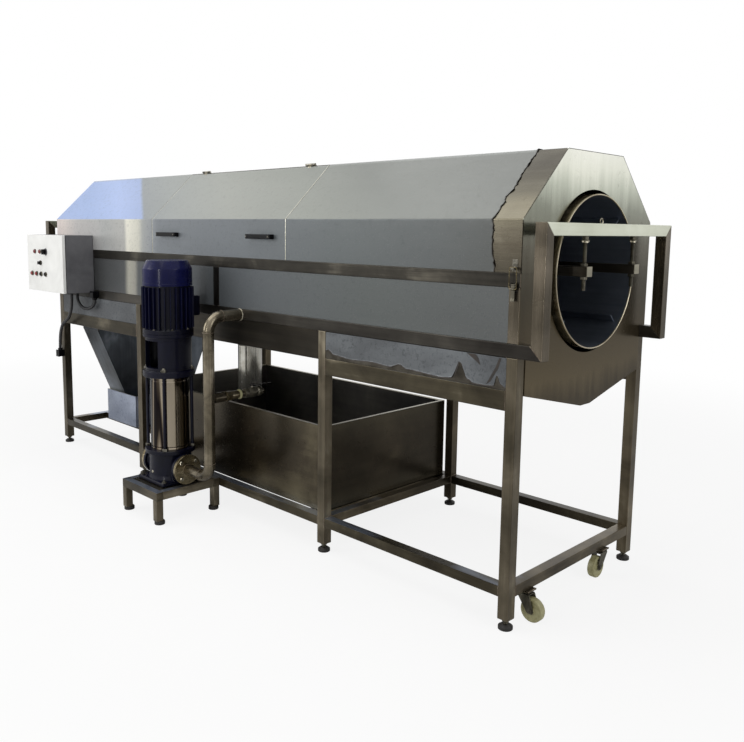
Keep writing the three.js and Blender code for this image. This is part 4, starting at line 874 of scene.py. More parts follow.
class Look(Enum):
    """Every finish of the machine."""

    FRAME = Steel("frame_tube_steel", "26221a 433d31 655d4e a29985", patch=3.4, streak=0.25, painted_sky_glint=0.5)
    FRAME_DARK = Steel("rear_tube_steel", "27231b 443d31 655c4b 988d78", patch=3.0, streak=0.25, painted_sky_glint=0.5)
    # The rails' steel is a darker copy of the tubes' steel: painted reflection of the dark surroundings that their
    # faces mirror.
    LOW_RAIL = Steel("low_rail_steel", "1e1b15 332e24 4b4537 827a68", patch=3.4, streak=0.25, painted_sky_glint=0.45)
    DECK = Steel("deck_rail_steel", "24211e 3d3a35 57534c 97928a", patch=2.4, streak=0.3)
    RAIL = Steel("top_rail_steel", "141210 24221e 3b3832 757064", patch=3.6, streak=0.3)
    GUARD = Steel("guard_steel", "35312a 544d41 736a5c a1988a", patch=3.0, streak=0.25, gloss=0.26)
    # The hoops' top bars are a near-white copy of the guard steel: painted reflection of the bright light above.
    GUARD_BAR = Steel("guard_bar_steel", "b4b7a4 cbcebc dcdfcf f3f4e9", patch=2.0, streak=0.2, gloss=0.22)
    # The ramps by height on the end plates, the bare hood and the tank are painted reflection gradients, brightest at
    # the top of the end plates.
    END = Steel("end_plate_steel", "39342a 514a3c 6b624f 9b947f", patch=1.7, streak=0.3, gloss=0.24,
                shift=(0.3, 0.2, 0.1), painted_reflection_span=(0.83, 1.92), painted_reflection_share=0.86,
                painted_reflection="0:3c3427 0.06:463d2d 0.14:6a5e47 0.3:5d5341 0.48:4b463a 0.62:5d5a4f 0.76:8b8f82 0.85:c3c8b9 "
                     "0.93:eef0e2 1:fafbf0")
    BARE = Steel("bare_hood_steel", "3b352b 565044 757062 b8b2a0", patch=4.0, streak=0.3, gloss=0.26,
                 painted_reflection_span=(1.40, 1.92), painted_reflection_share=0.72,
                 painted_reflection="0:443f35 0.25:514a3e 0.36:5d574a 0.43:686353 0.54:635e4e 0.64:3b382d 0.82:27251f 1:201e19")
    TROUGH = Steel("trough_steel", "1b1814 312d26 4c463c 7b766c", patch=1.8, streak=0.3)
    CHUTE = Steel("chute_steel", "26282b 42464b 646a72 a3aab5", patch=3.2, streak=0.2)
    TANK = Steel("tank_steel", "1d1913 312b21 473f32 7d745d", patch=2.4, streak=0.15, gloss=0.24,
                 painted_reflection_span=(0.18, 0.62), painted_reflection_share=0.4, painted_reflection="0:5f5a4a 0.22:2f2a21 0.7:373127 1:575142")
    # The faces inside the tank take their own copy of the tank's steel: its tones are painted light and shade for the
    # inside, not a different metal.
    TANK_INSIDE = Steel("tank_inside_steel", "4a4a48 5c5b58 74716b 96928a", streak=0.2)
    TANK_LIP = Steel("tank_lip_steel", "4f4a3d 7d7868 a5a08e d8d5c6", patch=3.0)
    PIPE = Steel("pipe_steel", "3a342b 5b5446 857c6b d0c8b6", patch=9.0, streak=0.3, gloss=0.2)
    DRAIN = Steel("drain_pipe_steel", "6a665c 9b978c c2bfb5 ecebe4", patch=7.0, gloss=0.2)
    MULLION = Steel("mullion_steel", "0b0a09 171512 25221e 4a463f", patch=4.0)
    # Near-white steel for the narrow strips along the door's edges: a painted highlight on the edges.
    TRIM = Steel("seam_edge_steel", "a8a797 c4c3b4 d8d7c9 efeee4", patch=5.0, gloss=0.25)
    FLANGE = Steel("flange_steel", "3d372b 62583f 8a7f66 c9bda2", patch=14.0, gloss=0.22)
    DRUM = Steel("drum_inside_steel", "5a5f69 727985 8d95a3 b4bbc9", patch=1.4, streak=0.15, gloss=0.34)
    DRUM_RIM = Steel("drum_rim_steel", "8b806a b3a88f dad0b8 f5eedd", patch=6.0)
    WELD = Steel("weld_bead", "3e3428 62574a 8c8273 c9c2b3", patch=40.0, gloss=0.35, metal=0.7)
    BOLT = Steel("bolt_steel", "33312c 5a574f 858176 c4c1b6", patch=60.0, gloss=0.28)
    ZINC = Steel("zinc_plate", "23211b 3e3b31 5b574b 8a8577", patch=30.0, gloss=0.4, metal=0.7)
    GLUE = Steel("glue_marked_steel", "221f1a 39352e 514d45 7b766d", patch=12.0, gloss=0.45)
    POLISHED = Steel("polished_small_parts", "5c574b 8c8676 b8b2a2 e9e5d8", patch=22.0, gloss=0.18)
    # The hood's slope and band wear two copies of one film: the slope's lighter tones paint the light from above, the
    # band's darker ones the shade on its upright faces; their glare ramps are painted reflections.
    SLOPE = Film("hood_slope_film", "8a8e8a 9b9f9c abaeab", "7d807c", slant=1.737, front=-0.05,
                 glare="0:8fa9dc 0.10:a2b8e8 0.171:97abd8 0.180:84898c 0.26:8f9391 0.40:94968f 0.57:7f827a "
                       "0.70:62655f 0.88:545651")
    BAND = Film("hood_band_film", "565b5e 63686c 71777a", "4d5254",
                glare="0:dccccd 0.05:f0e4dc 0.10:cfcbc8 0.20:b4b5b3 0.262:bcbbb6 0.27:f2efe0 0.305:d9d7c9 "
                      "0.318:a8aaa8 0.345:92969a 0.36:7b8085 0.55:6c7175 0.75:565b5b 0.90:515453 0.97:4c4d49")
    PANEL = Film("panel_film", "494d50 5a5f61 62686a", "3f4345",
                 glare="0:353330 0.26:48494a 0.272:b3b0a2 0.292:a29f94 0.302:4c4e50 0.45:515558 0.60:575b5e "
                       "0.80:565a58 0.97:575958")
    SKIRT = Film("skirt_film", "414446 54575a 6b6f72", "323538", patch=7.0, bubble=0.7)
    BOX_FILM = Film("catch_box_film", "7a8292 949cae b8c0d0", "5d6370", patch=6.0, bubble=0.5)
    PUMP = Paint("pump_blue_paint", "06082c 0d1144", "3b3f66", dusty=0.15)
    CAST = Paint("pump_cast_paint", "02030f 05061d", "1c1e38", gloss=0.34, grain=0.6, dusty=0.1)
    FINS = Paint("motor_fin_paint", "04061e 090c2c", "2a2d4c", gloss=0.34, dusty=0.2)
    DOOR = Paint("cabinet_door_paint", "e3e3e0 f1f1ee", "d4d2cb", gloss=0.3, dusty=0.2)
    CABINET = Paint("cabinet_side_paint", "58585b 6e6e71", "9a9a98", gloss=0.35)
    # Dark brown for the torn film: on the torn edges it is partly the peeled film's own edge, partly painted shadow
    # under the curled lip.
    TORN = Moulded("torn_film_edge", "17110b", "33281e", 0.6, 0.4)
    BLACK = Moulded("black_plastic", "050507", "111115", 0.22, 0.1, 0.16)
    RUBBER = Moulded("foot_rubber", "0c0b0a", "2c2823", 0.6, 0.5)
    RED = Moulded("red_plastic", "6d0f18", "9a1f28", 0.28)
    LENS = Moulded("lamp_lens", "571016", "8e2a2a", 0.16)
    NYLON = Moulded("cream_nylon", "8f8a63", "b9b58d", 0.45)
    CONDUIT = Moulded("conduit_plastic", "0d0d0e", "2e2e30", 0.42)
    SLEEVE = Mirror("polished_sleeve", PUMP_AXIS, "0:0f0d12 0.22:1c191e 0.30:3a332c 0.42:544839 0.47:a3998a "
                    "0.54:6f6354 0.60:26211e 0.72:171417 0.82:483f35 0.92:958b7b")

    @property
    @cache
    def material(self) -> bpy.types.Material:
        """The finish's material, which is made at its first use."""
        return self.value.build()


@dataclass
class Studio:
    """The camera of the photograph, a pale floor and soft lights."""

    place: Point = (3.655358, -2.852633, 1.572207)
    azimuth: float = 0.7834569
    pitch: float = 0.1293521
    roll: float = 0.0125315
    focal_pixels: float = 794.673
    centre: Flat = (358.6845, 333.1364)
    frame: Flat = (744.0, 742.0)
    sensor: float = 36.0
    lamps: tuple[tuple[str, Point, Point, Flat, float], ...] = (
        ("roof_lamp", (-0.5, -1.0, 5.6), (-0.3, 0.0, 0.8), (5.0, 5.0), 130.0),
        ("window_lamp", (-3.5, -5.5, 3.2), (-0.5, 0.0, 1.0), (3.0, 3.0), 120.0),
        ("door_lamp", (6.0, 0.5, 3.0), (1.5, 0.0, 1.0), (2.5, 2.5), 60.0),
        ("strip_lamp", (1.45, -4.75, 1.9), (-0.13, -0.53, 1.1), (0.14, 2.2), 30.0))

    def set_camera(self) -> None:
        """Puts the camera where the photograph was taken."""
        a, p, r = self.azimuth, self.pitch, self.roll
        ahead = Vector((-math.sin(a) * math.cos(p), math.cos(a) * math.cos(p), -math.sin(p)))
        level = Vector((math.cos(a), math.sin(a), 0.0))
        upward = level.cross(ahead)
        right = level * math.cos(r) + upward * math.sin(r)
        top = upward * math.cos(r) - level * math.sin(r)
        data = bpy.data.cameras.new("photo_camera")
        data.sensor_fit = "HORIZONTAL"
        data.sensor_width = self.sensor
        data.lens = self.sensor * self.focal_pixels / self.frame[0]
        data.shift_x = -(self.centre[0] - self.frame[0] / 2) / self.frame[0]
        data.shift_y = (self.centre[1] - self.frame[1] / 2) / self.frame[0]
        data.clip_end = 200.0
        made = link("photo_camera", data)
        matrix = Matrix((right, top, -ahead)).transposed().to_4x4()
        matrix.translation = Vector(self.place)
        made.matrix_world = matrix
        bpy.context.scene.camera = made

    def set_floor(self) -> None:
        """Lays a pale floor that fades into the white background."""
        make = Finish("pale_floor")
        reach = make.node("ShaderNodeVectorMath", {0: make.place()}, "Value", operation="LENGTH")
        share = make.between(reach, 2.6, 6.5, (0.85, 1.0), "SMOOTHSTEP")
        seen = make.times(make.node("ShaderNodeLightPath", out="Is Camera Ray"), share)
        plain = make.node("ShaderNodeBsdfDiffuse", {
            "Color": make.ramp(make.noise(make.place(), 3.0, 3.0), "ebebea f3f3f2")})
        glow = make.node("ShaderNodeEmission", {"Color": (1, 1, 1, 1)})
        mixed = make.node("ShaderNodeMixShader", {0: seen, 1: plain, 2: glow})
        make.put(next(n for n in make.tree.nodes if n.type == "OUTPUT_MATERIAL").inputs["Surface"], mixed)
        part = bmesh.new()
        bmesh.ops.create_circle(part, cap_ends=True, segments=96, radius=40.0)
        mesh = bpy.data.meshes.new("floor")
        part.to_mesh(mesh)
        part.free()
        mesh.materials.append(make.material)
        link("floor", mesh)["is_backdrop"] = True

    def set_world(self) -> None:
        """White where it is seen or mirrored, and a soft grey light elsewhere."""
        world = bpy.data.worlds.new("studio_world")
        world.use_nodes = True
        bpy.context.scene.world = world
        make = Tree(world.node_tree)
        light = make.node("ShaderNodeLightPath").node.outputs
        either = make.sum("MAXIMUM", light["Is Camera Ray"], light["Is Glossy Ray"])
        either = make.sum("MAXIMUM", either, light["Is Transmission Ray"])
        back = make.tree.nodes["Background"].inputs
        make.put(back["Color"], (1, 1, 1, 1))
        make.put(back["Strength"], make.node("ShaderNodeMapRange", {"Value": either, "To Min": 0.42, "To Max": 1.0}))

    def build(self) -> None:
        """Sets the whole studio, with its lamps as name, place, aim, size and power."""
        self.set_camera()
        self.set_floor()
        self.set_world()
        for name, place, aim, size, power in self.lamps:
            data = bpy.data.lights.new(name, "AREA")
            data.shape = "RECTANGLE"
            data.size, data.size_y = size
            data.energy = power
            made = link(name, data)
            made.location = place
            made.rotation_euler = (Vector(aim) - Vector(place)).to_track_quat("-Z", "Y").to_euler()
        bpy.context.scene.view_settings.view_transform = "Standard"


@dataclass
class Conduits:
    """The two ribbed conduits between the cabinet and the frame."""

    radius: float = 11.0
    rib_pitch: float = 5.0
    rib_depth: float = 1.3
    loop: tuple[Point, ...] = (
        (-3500, -55, 1117.7), (-3500, -55, 1104), (-3497, -55, 1082), (-3487, -53, 1060), (-3470, -50, 1041),
        (-3447, -46, 1028), (-3421, -41, 1022), (-3394, -36, 1022), (-3368, -31, 1028), (-3345, -27, 1040),
        (-3328, -24, 1057), (*DECK_BOX, 1073), (*DECK_BOX, 1085.7))
    leg: tuple[Point, ...] = (
        (-3575, -60, 1117.7), (-3575, -60, 1109), (-3582, -58, 1058), (-3601, -54, 1009), (-3632, -50, 966),
        (-3672, -46, 932), (-3720, -42, 910), (-3768, -37, 888), (-3808, -32, 854), (-3839, -27, 811),
        (-3858, -23, 762), (*LEG_BOX, 712), (*LEG_BOX, 700.3))

    def rib(self, run: float) -> float:
        """The conduit's radius at a length from its start."""
        return self.radius - self.rib_depth * (0.5 - 0.5 * math.cos(2 * math.pi * run / self.rib_pitch))

    def build(self) -> None:
        """Makes both conduits and says what they are."""
        for name, points in (("loop", self.loop), ("leg", self.leg)):
            fine = smooth_route(points, 34)
            stock = Stock(f"ribbed_conduit_{name}")
            stock.swept(fine, self.rib, 16)
            made = stock.finish([Look.CONDUIT], "black_plastic", f"conduit_{name}")


def junction_box(name: str, at: Flat, z: Span, gland: float, nut: float) -> None:
    """Makes a black box on a rail's face, with a gland and a nut for its conduit.

    Args:
        name: the piece's name.
        at: the conduit's axis, as x and y.
        z: the box's height.
        gland: the gland's lowest place.
        nut: the nut's lowest place.
    """
    stock = Stock(name)
    stock.bar(about(at[0], 22), (-44, 0), z, 4.0, Z)
    stock.bar(about(at[0], 23.5), (-44.6, -38), (z[0] - 1.5, z[1] + 1.5), 2.0, Z)
    stock.disc(15, (gland, gland + 14), at, Z, 24, 2.0)
    stock.disc(17, (nut, nut + 7), at, Z, 6, 0)
    stock.finish([Look.BLACK], "black_plastic")


@dataclass
class Welds:
    """Short weld runs, gathered into one piece."""

    points: list[Vector] = field(default_factory=list)
    edges: list[tuple[int, int]] = field(default_factory=list)

    def run(self, start: Point, end: Point) -> None:
        """Adds a straight run between two points of the drawing."""
        self.edges.append((len(self.points), len(self.points) + 1))
        self.points += [row(*start), row(*end)]

    def ring(self, centre: Point, axis: Axis, radius: float, steps: int = 28) -> None:
        """Adds a round run about an axis."""
        first = len(self.points)
        places = [centre[i] for i in range(3) if i != axis.value]
        for i, (a, b) in enumerate(arc(places, radius, 0.0, 360.0, steps)[:-1]):
            self.points.append(row(*lift(axis, a, b, centre[axis.value])))
            self.edges.append((first + i, first + (i + 1) % steps))

    def build(self, name: str, slot: str = "frame_steel", width: float = 0.0022) -> None:
        """Makes the gathered runs into one piece."""
        weld_pattern().run(name, self.points, Look.WELD, slot, edges=self.edges, Width=width, Pitch=width * 1.1)


@dataclass
class LegFrame:
    """Eight legs, their rails, the cross members, the caster plates and a junction box."""

    half: float = 25.0
    leg_span: Span = (42.0, 1094.7)
    base: Span = (133.0, 178.0)
    middle: Span = (886.0, 966.0)
    bearers: tuple[float, ...] = (-1200.0, -2690.0, -1095.0)
    bearer_half: float = 22.5
    box_bearers: tuple[float, ...] = (330.0, 710.0)
    casters: tuple[Flat, ...] = ((-15.0, 150.0), (-15.0, 760.0))
    edge: float = 3.0

    def rails(self) -> list[tuple[Span, Span]]:
        """Each rail between neighbouring legs as its spans along X and Z, from the near end."""
        gaps = [(b + self.half, a - self.half) for a, b in zip(LEGS, LEGS[1:])]
        return [*((gap, self.base) for gap in gaps), (gaps[0], self.middle), (gaps[2], self.middle)]

    def add_row(self, stock: Stock, y: Span) -> None:
        """Adds one row of legs with its rails."""
        for x in LEGS:
            stock.bar(about(x, self.half), y, self.leg_span, self.edge, Z)
        # The rails take the darker rail steel, a painted reflection of dark surroundings.
        for x, z in self.rails():
            stock.bar(x, y, z, self.edge, X, slot=1)

    def add_row_welds(self, welds: Welds, face: float, y: Span) -> None:
        """Adds the weld runs where the rails meet the legs."""
        base, middle = self.rails()[:3], self.rails()[3:]
        for span, (low, high) in (base[0], middle[0], base[1], base[2], middle[1]):
            for x in span:
                welds.run((x, face, low + 3), (x, face, high - 3))
                welds.run((x, y[0] + 3, high), (x, y[1] - 3, high))

    def build(self) -> None:
        """Makes both rows, the cross members, their welds and the box."""
        front = Stock("front_legs", 11)
        self.add_row(front, FRONT)
        front.finish([Look.FRAME, Look.LOW_RAIL], "frame_steel", "front_leg_frame")
        rear = Stock("rear_legs", 12)
        self.add_row(rear, REAR)
        cross = [(LEGS[0], self.half), (LEGS[3], self.half), *((x, self.bearer_half) for x in self.bearers)]
        for x, half in cross:
            rear.bar(about(x, half), (FRONT[1] + 0.3, REAR[0]), self.base, self.edge, Y)
        for y in self.box_bearers:
            rear.bar((LEGS[3] + self.half, self.bearers[1] - self.bearer_half), about(y, self.bearer_half), self.base,
                     self.edge, X)
        for x, y in self.casters:
            rear.bar(about(x, 30.0), about(y, 30.0), (127.0, 133.0), 1.0, X)
            rear.turned([(0, 119.0), (20, 119.0), (22, 121.0), (22, 127.2), (0, 127.2)], (x, y), sides=36)
        rear.finish([Look.FRAME_DARK, Look.LOW_RAIL], "frame_steel", "rear_leg_frame")
        welds = Welds()
        self.add_row_welds(welds, FRONT[0] + 0.6, FRONT)
        self.add_row_welds(welds, REAR[0] - 0.6, REAR)
        for x in (-1.0, -50.0, -3840.0, -3890.0):
            welds.run((x, 51.0, 136), (x, 51.0, 175))
        for x in self.bearers:
            for side in about(x, self.bearer_half):
                welds.run((side, 51.0, 178.0), (side, 51.0, 136.0))
        for x, y in self.casters:
            for side in about(x, 29.0):
                welds.run((side, y - 28, 133.0), (side, y + 28, 133.0))
        welds.build("leg_frame_welds")
        junction_box("leg_junction_box", LEG_BOX, (640, 686), 686, 689)


@dataclass
class Feet:
    """The eight screw feet."""

    names: tuple[str, ...] = ("near", "mid_near", "mid_far", "far")
    pad: float = 30.0
    stud: float = 9.0
    top: float = 41.7

    def build(self) -> None:
        """Makes each foot with its ribbed pad, neck, threaded stud and lock nut."""
        for side, y in (("front", sum(FRONT) / 2), ("rear", sum(REAR) / 2)):
            for name, x in zip(self.names, LEGS):
                stock = Stock(f"foot_{side}_{name}", 5)
                rim = [(self.pad - 1.2, 0), (self.pad, 1.5), (self.pad, 4), (self.pad - 1, 5), (self.pad, 6),
                       (self.pad, 9), (self.pad - 1, 10), (self.pad, 11), (self.pad - 0.6, 13.4), (26, 15.5)]
                stock.turned([(0, 0), *rim, (20, 20), (17, 22), (0, 22)], (x, y))
                stock.turned(thread_profile(self.stud, 0.9, (21.8, self.top), 1.75), (x, y), sides=20, slot=1)
                stock.disc(15.5, (32.0, 40.5), (x, y), Z, 6, slot=1)
                stock.finish([Look.RUBBER, Look.ZINC], "black_plastic", f"{side}_foot_{name}", crease=28.0)


@dataclass
class Casters:
    """Two swivel casters: a pressed fork and a cream wheel each."""

    places: tuple[tuple[str, Flat, float], ...] = (("front", (-15.0, 150.0), 0.0), ("rear", (-15.0, 760.0), -90.0))
    half: float = 16.0
    axle: Flat = (35.0, 53.0)
    head_top: float = 118.7

    def turn(self, stock: Stock, place: Flat, degrees: float) -> None:
        """Turns a piece made about the swivel axis and puts it in place."""
        stock.bm.transform(Matrix.Translation((*place, 0.0)) @ Matrix.Rotation(math.radians(degrees), 4, "Z"))

    def build_fork(self, name: str, place: Flat, degrees: float) -> None:
        """Makes one fork with its ball race, cheeks, axle bolt and nut."""
        stock = Stock(f"fork_{name}", 21)
        low = self.head_top - 5
        trail, height = self.axle
        stock.bar((-28, 28), (-23, 23), (low, self.head_top))
        cheek = rounded_line([(-28, self.head_top - 1), (-28, low - 4), (trail - 14, height - 13),
                              (trail + 14, height - 13), (trail + 14, height + 6), (28, self.head_top - 1)], 9, 5, True)
        for y in ((-23, -19), (19, 23)):
            stock.prism(cheek, Y, y, Z, edge=0.8)
        stock.turned([(0, low - 9), (12, low - 9), (16, low - 5), (19, low + 1), (0, low + 1)], (0, 0), sides=32)
        stock.disc(6, (-27, 27), self.axle, Y, 24)
        for low, high in ((-26.6, -23), (23, 26.6)):
            stock.turned([(0, low), (9.5, low), (10, low + 0.6), (10, high), (0, high)], self.axle, Y, 6)
        self.turn(stock, place, degrees)
        stock.finish([Look.ZINC], "galvanised_steel", f"caster_fork_{name}", body=f"caster_{name}")

    def build_wheel(self, name: str, place: Flat, degrees: float) -> None:
        """Makes one wheel with its tread, dished web and hub."""
        stock = Stock(f"nylon_wheel_{name}", 22)
        side = [(6.4, 0), (13, 0), (15, 1.5), (16, 5), (37, 4.5), (40, 1), (44, 0), (48, 1.2), (50, 5)]
        profile = [(radius, at - self.half) for radius, at in side]
        stock.turned(profile + [(radius, -at) for radius, at in profile[::-1]], self.axle, Y, 64)
        self.turn(stock, place, degrees)
        stock.finish([Look.NYLON], "wheel_cream", f"caster_wheel_{name}", body=f"wheel_{name}")

    def build(self) -> None:
        """Makes both casters."""
        for place in self.places:
            self.build_fork(*place)
            self.build_wheel(*place)


@dataclass
class Deck:
    """The two long rails, the beams between them, the bearings of the roller shafts and a junction box."""

    rail: tuple[Flat, ...] = ((-4085.0, 1095.0), (105.0, 1095.0), (55.0, 1150.0), (-4035.0, 1150.0))
    beams: tuple[float, ...] = (-230.0, -3660.0)

    def build(self) -> None:
        """Makes the deck, its bearing bolts, its welds and its junction box."""
        stock = Stock("deck_rails", 31)
        for y in (FRONT, REAR):
            stock.prism(self.rail, Y, y, X, edge=3.0, steps=2)
        for x in self.beams:
            span = about(x, 30.0)
            stock.bar(span, (56.3, 983.7), (1017, 1062), 3.0)
            for y in ((56.3, 116.3), (923.7, 983.7)):
                stock.bar(span, y, (1055, 1135), 2.0)
            for y in ((50.1, 60), (980, 989.9)):
                stock.bar(span, y, (1096, 1134), 1.0, Z)
            for y in SHAFTS_Y:
                stock.bar(about(x, 29.0), about(y, 43.0), (1061, 1096))
                ring = (y, SHAFT_Z)
                housing = [(y - 44, 1096), (y + 44, 1096), (y + 44, 1112), *arc(ring, 35.0, -25.0, 205.0, 24),
                           (y - 44, 1112)]
                stock.plate(housing, [arc(ring, 21.0, 0, 348, 29)], about(x, 24.0), Y)
        stock.finish([Look.DECK], "frame_steel", "deck_frame")
        places = [row(x, y + side, 1112) for x in self.beams for y in SHAFTS_Y for side in (-37, 37)]
        bolt_pattern().run("bearing_bolts", places, Look.BOLT, "frame_steel", Radius=0.005, Height=0.004)
        welds = Welds()
        for x, inner in ((101.8, 51.8), (-4081.8, -4031.8)):
            for y in (1.2, 1038.8):
                welds.run((x, y, 1097.5), (inner, y, 1149))
        for x in (0.0, -50.0, -1070, -1120, -2770, -2820, -3840, -3890):
            welds.run((x, 0.8, 1094.8), (x - 1, 49, 1094.8))
        for x in (LEGS[0], -1955, LEGS[3]):
            for side in about(x, 25):
                welds.run((side, 1.0, 1150.2), (side, 49.0, 1150.2))
        welds.build("deck_welds")
        junction_box("deck_junction_box", DECK_BOX, (1100, 1144), 1086, 1090)


@dataclass
class Guards:
    """The mitred hoops at both ends, with the threaded hanger rods of the spray rack."""

    low: float = 1095.3
    top: float = 1609.0
    tube: float = 50.0
    rod_span: Span = (1345.0, 1560.0)

    def add_hoop(self, stock: Stock, outer: float, inner: float) -> None:
        """Adds two uprights, mitred to the deck rail and to the top bar, and the bar."""
        for y, outward in ((FRONT, 0.0), (REAR, WIDTH)):
            ends = [(outer, y[0]), (inner, y[0]), (inner, y[1]), (outer, y[1])]
            lower = [Vector((x, b, self.low + (0.0 if x == outer else self.tube))) for x, b in ends]
            upper = [Vector((x, b, self.top - (0.0 if b == outward else self.tube))) for x, b in ends]
            stock.eight(lower + upper, 2.6, Z)
        under = self.top - self.tube
        bar = [(FRONT[1], under), (REAR[0], under), (WIDTH, self.top), (0.0, self.top)]
        # The top bar takes the near-white bar steel, a painted reflection.
        stock.prism(bar, X, (min(outer, inner), max(outer, inner)), Y, edge=2.6, slot=1, steps=2)

    def build(self) -> None:
        """Makes both hoops with their rods, nuts and mitre welds, and the ring eye on the near one."""
        welds = Welds()
        for name, outer, inner in HOOPS:
            stock = Stock(f"guard_hoop_{name}", 41)
            self.add_hoop(stock, outer, inner)
            for y in RODS_Y:
                at = ((outer + inner) / 2, y)
                stock.turned(thread_profile(8.0, 0.9, self.rod_span, 2.0), at, sides=16, slot=2)
                stock.turned([(0, 1545), (13, 1545), (14, 1546), (14, 1559.2), (0, 1559.2)], at, sides=6, slot=2)
                stock.disc(17, (1541, 1545), at, Z, 28, 0.8, slot=2)
            stock.finish([Look.GUARD, Look.GUARD_BAR, Look.ZINC], "frame_steel", f"guard_{name}")
            for y, inside in ((1.5, FRONT[1]), (WIDTH - 1.5, REAR[0])):
                for x in (outer + (inner - outer) * 0.05, inner):
                    welds.run((x, y, 1606), (x, inside, 1560))
        welds.build("guard_welds", width=0.0016)
        eye = Stock("guard_ring_eye")
        eye.swept([Vector((80, y, z)) for y, z in arc((440, 1618), 11, 0, 360, 28)], 2.6, 10)
        eye.disc(5, (1608.5, 1611), (80, 440), Z, 20, 0.6)
        eye.finish([Look.POLISHED], "frame_steel")


@dataclass
class Casing:
    """The rails, posts and sheets between the deck and the hood."""

    rail: Span = (1363.0, RAIL_TOP)
    rise: Span = (DECK_TOP, RAIL_TOP)
    far: float = -3890.0
    mullion: float = -1955.0

    def add_side(self, stock: Stock, y: Span) -> None:
        """Adds a top rail on its posts."""
        for i, x in enumerate(((-50.0, 0.0), about(self.mullion, 25), (self.far, self.far + 50))):
            stock.bar(x, y, (self.rise[0], self.rail[0]), 3.0, Z, slot=3 if i else 0)
        stock.bar((self.far, 0.0), y, self.rail, 3.0, X, slot=1)

    def add_latch_base(self, stock: Stock) -> None:
        """Adds the latch's plate, ears and pivot pin on the near post."""
        x = LATCH_X
        stock.bar(about(x, 14), (-3, 0.2), (1345, 1385), 1.0, Z, slot=2)
        ear = rounded_line([(0, 1380), (-12, 1380), (-12, 1366), (0, 1366)], 4, 4, True)
        for side in about(x, 11.0):
            stock.prism(ear, X, about(side, 1.5), Z, slot=2)
        stock.disc(2.5, about(x, 12.5), LATCH_PIVOT, X, 16, 0.3, slot=2)
        for z in (1350, 1380.5):
            for side in about(x, 8):
                stock.turned([(0, -4.2), (1.6, -4.0), (2.6, -3.4), (2.8, -2.9), (0, -2.9)], (side, z), Y, 14, 2)

    def build_frames(self) -> None:
        """Makes the front frame with the latch's base, and the rear wall with its hinge knuckles."""
        front = Stock("casing_front_frame", 51)
        self.add_side(front, FRONT)
        self.add_latch_base(front)
        front.finish([Look.GUARD, Look.RAIL, Look.RAIL, Look.MULLION], "frame_steel", "front_top_frame")
        rear = Stock("casing_rear_wall", 52)
        self.add_side(rear, REAR)
        rear.bar((self.far + 0.5, -0.5), (1034, 1037), self.rise, 0.6, X)
        for x in HOOD_HINGES_X:
            for span in (about(x - 31, 15.0), about(x + 31, 15.0)):
                rear.disc(9, span, HOOD_HINGE, X, 28, 0.8, slot=1)
                rear.prism([(1040, 1388), (1044, 1388), (1050, 1410), (1050, 1417), (1040, 1417)], X, span)
            rear.disc(5, about(x, 46.5), HOOD_HINGE, X, 20, 0.5, slot=1)
        rear.finish([Look.GUARD, Look.RAIL, Look.RAIL, Look.RAIL], "frame_steel", "rear_wall")
        welds = Welds()
        for x in (-50, self.mullion - 25, self.mullion + 25, self.far + 50):
            welds.run((x, 0.6, 1363), (x, 49, 1363))
        for x in (-50.0, 0.0):
            welds.run((x, 0.7, 1365), (x, 0.7, 1416))
        welds.build("casing_welds", width=0.0016)

    def build(self) -> None:
        """Makes the frames, and both end plates, each with the round mouth cut out."""
        self.build_frames()
        start = math.degrees(math.asin((RAIL_TOP - DRUM_AXIS[1]) / MOUTH_RADIUS))
        outline = [(50.3, DECK_TOP), *TROUGH_LINE, (989.7, DECK_TOP), (WIDTH, DECK_TOP), (WIDTH, RAIL_TOP),
                   *arc(DRUM_AXIS, MOUTH_RADIUS, start, -180 - start, 96), (0, RAIL_TOP), (0, DECK_TOP)]
        shaft = arc((SHAFTS_Y[1], SHAFT_Z), 27, 0, 350, 35)
        for name, x, holes in (("near", (0.3, 3.3), []), ("far", (-3893.3, -3890.3), [shaft])):
            stock = Stock(f"end_sheet_{name}", 61)
            stock.plate(outline, holes, x, Z)
            stock.finish([Look.END], "sheet_steel", f"end_plate_{name}")


@dataclass
class SheetField:
    """A thin sheet over a flat or folded face, with its own torn outline and soft waves.

    The face gives its point and its outward direction at two places.
    """

    stock: Stock
    face: Callable[[float, float], tuple[Vector, Vector]]
    thickness: float = 0.35

    def build(self, u_of: Callable[[float, float], float], rows: Sequence[float], u_steps: int,
              lift_of: Callable[[float, float], float], slot: int = 0,
              slot_of: Callable[[float, float], int] | None = None) -> None:
        """Adds the sheet as a closed thin shell.

        Args:
            u_of: the first place from a share along and the second place.
            rows: the second places, in order.
            u_steps: cells along.
            lift_of: the height over the face, from the two shares.
            slot: the material's place in the piece's list.
            slot_of: the material's place from the two shares, for a sheet of several looks.
        """
        part = bmesh.new()
        v_steps = len(rows) - 1
        shares = [(v - rows[0]) / (rows[-1] - rows[0]) for v in rows]
        layers = []
        for extra in (0.0, self.thickness):
            grid = []
            for v, t in zip(rows, shares):
                places = [(s, *self.face(u_of(s, v), v)) for s in spread((0.0, 1.0), u_steps)]
                grid.append([part.verts.new(at + out * (lift_of(s, t) + extra)) for s, at, out in places])
            layers.append(grid)
        low, high = layers
        for j in range(v_steps):
            for i in range(u_steps):
                look = slot_of((i + 0.5) / u_steps, (shares[j] + shares[j + 1]) / 2) if slot_of else slot
                over = part.faces.new((high[j][i], high[j][i + 1], high[j + 1][i + 1], high[j + 1][i]))
                under = part.faces.new((low[j][i], low[j + 1][i], low[j + 1][i + 1], low[j][i + 1]))
                over.material_index = under.material_index = look
        for j in range(v_steps):
            for i in (0, u_steps):
                part.faces.new((low[j][i], low[j + 1][i], high[j + 1][i], high[j][i])).material_index = slot
        for i in range(u_steps):
            for j in (0, v_steps):
                part.faces.new((low[j][i], low[j][i + 1], high[j][i + 1], high[j][i])).material_index = slot
        self.stock.absorb(part, X, None, 0.5)


